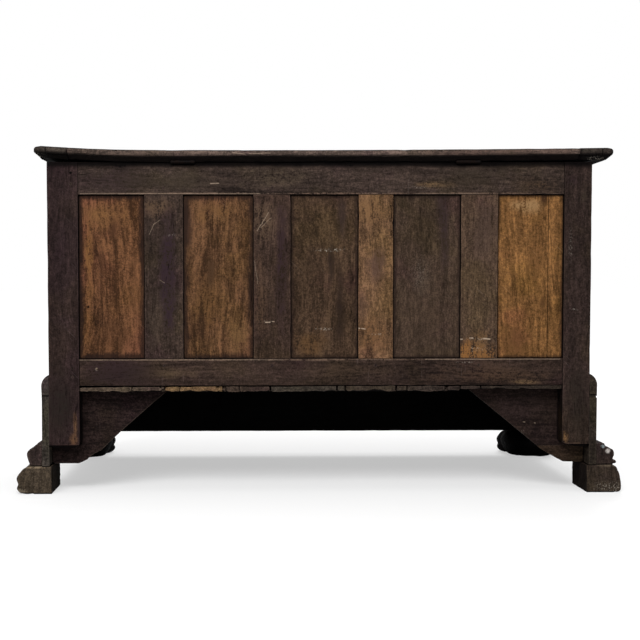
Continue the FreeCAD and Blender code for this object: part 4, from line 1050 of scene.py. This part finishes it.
dress((84, 66, 53), "back_muntin_1", seams=MUNTIN_ENDS, stain=0.25,
      patches=[(-420, 375, 85, 30, (142, 98, 56), 1.5), (-430, 400, 30, 50, (124, 92, 60), 0.7),
               (-440, 700, 40, 100, (72, 57, 54), 0.5)],
      flecks=[(-420, 412, 45, 4, 0.6), (-420, 385, 30, 8, 0.5)],
      scratches=[(-373, 411, -381, 411.5, 2.4, 1.3), (-402, 414.5, -409, 414.5, 2, 1.2),
                 (-437, 413, -452, 411.5, 2.6, 1.3)])
dress((97, 65, 43), "back_panel_5", stain=0.65, contrast=1.1, broad=1.8,
      rim=box_rim("back_panel_5", 20, 0.85),
      patches=[(570, 740, 80, 50, (130, 92, 56), 0.8), (612, 620, 16, 140, (132, 92, 54), 0.8),
               (545, 700, 22, 60, (70, 44, 32), 0.8), (580, 600, 12, 100, (80, 52, 36), 0.6),
               (615, 499, 5, 5, BLACK, 1.4), (597, 498, 4, 6, BLACK, 1.4),
               (550, 420, 60, 60, (84, 56, 38), 0.5)])
dress((94, 66, 45), "back_panel_4", stain=0.6, contrast=1.05, broad=1.8, rim=box_rim("back_panel_4", 20, 0.8),
      patches=[(260, 750, 70, 50, (122, 88, 54), 0.8), (300, 500, 50, 100, (108, 76, 46), 0.6),
               (220, 420, 40, 60, (116, 88, 54), 0.6), (350, 700, 18, 100, (56, 40, 36), 0.7),
               (290, 600, 12, 60, (62, 46, 34), 0.7)])
dress((71, 54, 41), "back_panel_3", stain=0.45, rim=box_rim("back_panel_3", 14, 0.6),
      patches=[(-30, 610, 12, 70, (40, 31, 28), 0.8), (-53, 500, 16, 130, (40, 30, 27), 0.9),
               (-60, 740, 18, 70, (46, 36, 37), 0.7), (30, 400, 50, 40, (104, 75, 48), 0.7),
               (40, 600, 30, 140, (80, 62, 46), 0.5)],
      flecks=[(-30, 649, 45, 5, 0.9), (-12, 439, 25, 4, 0.8)])
dress((66, 52, 42), "back_panel_2", stain=0.3, figure=0.25, rim=box_rim("back_panel_2", 12, 0.6),
      flecks=[(-268, 590, 30, 50, 0.16)],
      patches=[(-330, 700, 18, 130, (50, 38, 42), 0.7), (-270, 580, 35, 80, ASH, 0.25),
               (-300, 460, 40, 60, (80, 64, 50), 0.5)])
dress((124, 87, 51), "back_panel_1", stain=0.2, broad=1.5, contrast=0.9, rim=box_rim("back_panel_1", 10, 0.6),
      patches=[(-536, 765, 50, 25, (164, 130, 90), 0.9), (-597, 785, 12, 20, (52, 34, 24), 0.9),
               (-595, 507, 8, 20, (60, 38, 26), 0.8), (-520, 400, 40, 50, (92, 62, 38), 0.6),
               (-570, 620, 30, 100, (104, 71, 42), 0.5)], seams=[("x", -607.5, 1.1)])
dress((58, 45, 39), "left_muntin", "right_muntin", gloss=0.04)
dress((52, 38, 31), "front_muntin_1", "front_muntin_2", contrast=0.85, gloss=0.15)
dress((54, 39, 31), "front_top_rail", "front_bottom_rail", along="x", contrast=0.85, gloss=0.15)
dress((56, 43, 37), "left_top_rail", "left_bottom_rail", "right_top_rail", "right_bottom_rail", along="y",
      gloss=0.04)
dress((64, 48, 38), "left_panel_1", "left_panel_2", "right_panel_1", "right_panel_2", gloss=0.08)
dress((64, 45, 34), "front_panel_1", "front_panel_2", "front_panel_3", gloss=0.15, contrast=0.85, figure=0.5)
# The lid's nose: dark_nose paints shade on its roundings, and its arrises are darker.
dress((92, 77, 69), "lid_board_back", "lid_board_front", along="x", gloss=0.03, figure=0.3, contrast=1.2,
      edge=((42, 32, 29), 6, 0.9), dark_nose=True,
      scratches=[(235, 903, 200, 898.5, 1.6, 0.5), (190, 900, 130, 901.5, 1.4, 0.5)],
      patches=[(450, 900, 220, 50, (104, 86, 76), 0.6), (-450, 900, 200, 50, (92, 70, 62), 0.6)])
dress((68, 60, 53), "lid_cleat_left", "lid_cleat_right", along="y", gloss=0.03, figure=0.3,
      edge=((44, 36, 33), 6, 0.9), marks_from=330, dark_nose=True,
      seams=[("x", 719.7, 2.2), ("x", -686, 1.8), ("x", -741, 1.8)],
      flecks=[(742, 893, 22, 12, 0.7), (-725, 888, 25, 7, 0.9)])
# Its inner face is painted black as the shadow under the chest.
dress((50, 37, 31), "plinth_front", along="x", contrast=0.85, gloss=0.02, black_from=(-268, -265.5))
for node, tone in (("plinth_left", (50, 43, 36)), ("plinth_right", (60, 54, 49))):
    dress(tone, node, along="y", seams=[("z", 262, 3)])
# Their pale arrises are wear and a painted highlight.
dress((39, 29, 27), "rear_bracket_left", "rear_bracket_right", along="x", contrast=1.25,
      edge=((104, 90, 80), 3, 0.9), flecks=[(-540, 155, 30, 8, 0.3)],
      scratches=[(-559, 184, -563, 183.8, 1.4, 0.7), (-587, 181.5, -590, 181, 1.4, 0.7)])
dress((54, 42, 33), "rear_bracket_strip_left", along="x")
for number, (tone, *_) in BOARDS.items():
    dress(tone, f"bottom_board_{number}", along="y", patches=NAIL_HOLES)
# inner_dark paints shade on the inner side; the pale line along the paw's top and the pale spot at its outer
# lower corner are painted highlights.
dress((70, 60, 49), "rear_foot_right", figure=0, seams=FOOT_SEAM, inner_dark=0.8,
      upper_tint=(0.66, 0.6, 0.78),
      patches=[(765, 71, 45, 4, (140, 122, 100), 1.0), (795, 9, 20, 8, (132, 120, 102), 1.0)])
# inner_dark paints shade on the inner side; the pale line along the paw's top is a painted highlight.
dress((56, 46, 40), "rear_foot_left", figure=0, seams=FOOT_SEAM, inner_dark=0.7,
      upper_tint=(0.72, 0.68, 0.78), marks_from=300,
      patches=[(-760, 20, 60, 20, (76, 65, 52), 0.6), (-775, 72, 40, 4, (112, 98, 82), 0.6),
               (-771.5, 112, 8.5, 8, (198, 190, 184), 2.2), (-757, 124, 7, 6, (132, 142, 144), 2.0)],
      flecks=[(-775, 15, 50, 16, 0.6), (-790, 100, 6, 12, 0.9)])
# Front feet: inner_dark and sooty_back paint shade on their inner sides and backs, and black_from turns them
# black towards the back as a painted shadow.
dress((46, 35, 29), "front_foot_left", "front_foot_right", contrast=0.8, gloss=0.03, figure=0,
      inner_dark=0.97, seams=FOOT_SEAM, sooty_back=True, black_from=(-262, -240))
dress((52, 41, 37), "pegs", contrast=0.8, figure=0, stain=0.2)

for node, piece in nodes.items():
    piece.data.materials.clear()
    piece.data.materials.append(finishes.get(node, iron))

# Pieces in place of the plain solids

SIDES, LEVELS = ("left", "right"), ("top", "bottom")
FRAME_PIECES = {"z": [f"{face}_post_{side}" for face in ("back", "front") for side in SIDES]
                + [*BACK_MUNTINS, "front_muntin_1", "front_muntin_2", "left_muntin", "right_muntin"],
                "x": [f"{face}_{level}_rail" for face in ("back", "front") for level in LEVELS],
                "y": [f"{side}_{level}_rail" for side in SIDES for level in LEVELS]}
PLINTH_PIECES = {"plinth_front": "x", "plinth_left": "y", "plinth_right": "y", "rear_bracket_left": "x",
                 "rear_bracket_right": "x", "rear_bracket_strip_left": "x"}
RESHAPES = {"back_post_right": worn_leg((639.5, 12, 14), (720, 4, -10)),
            "back_post_left": worn_leg((-648, 14, -48)), "rear_bracket_right": full_toe}
for along, members in FRAME_PIECES.items():
    for node in members:
        worn_member(node, along)
LID_PIECES = {"lid_board_back": "x", "lid_board_front": "x", "lid_cleat_left": "y", "lid_cleat_right": "y"}
lid_low = [min(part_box(node)[0][i] for node in LID_PIECES) for i in range(3)]
lid_high = [max(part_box(node)[1][i] for node in LID_PIECES) for i in range(3)]
for node, along in LID_PIECES.items():
    worn_member(node, along, "lid", boxed=False, outline=(lid_low, lid_high))
for node, along in PLINTH_PIECES.items():
    worn_member(node, along, boxed=False)

rear_foot("rear_foot_right", 1, PAW_LINE, SCROLL_LINE, 3.1)
rear_foot("rear_foot_left", -1, WORN_PAW_LINE, WORN_SCROLL_LINE, 8.7)
front_foot("front_foot_right", 1, 12.9)
front_foot("front_foot_left", -1, 17.3)
for number, (_, *wear) in BOARDS.items():
    ragged_board(f"bottom_board_{number}", *wear)

studs = stud_tree()
PEG_SIZES = {"Foot radius": 4.8 * MM, "Crown radius": 4.1 * MM, "Height": 1.5 * MM, "Sides": 9, "Tilt": 0.03,
             "Seed": 3, "Finish": finishes["pegs"]}
NAIL_SIZES = {"Foot radius": 4.6 * MM, "Crown radius": 1.3 * MM, "Height": 2.7 * MM, "Sides": 5, "Tilt": 0.12,
              "Seed": 11, "Finish": iron}
set_studs("frame_pegs", chest_pegs(), "chest", PEG_SIZES)
set_studs("cleat_pegs", lid_pegs(), "lid", PEG_SIZES)
set_studs("chest_nails", chest_nails(), "chest", NAIL_SIZES)
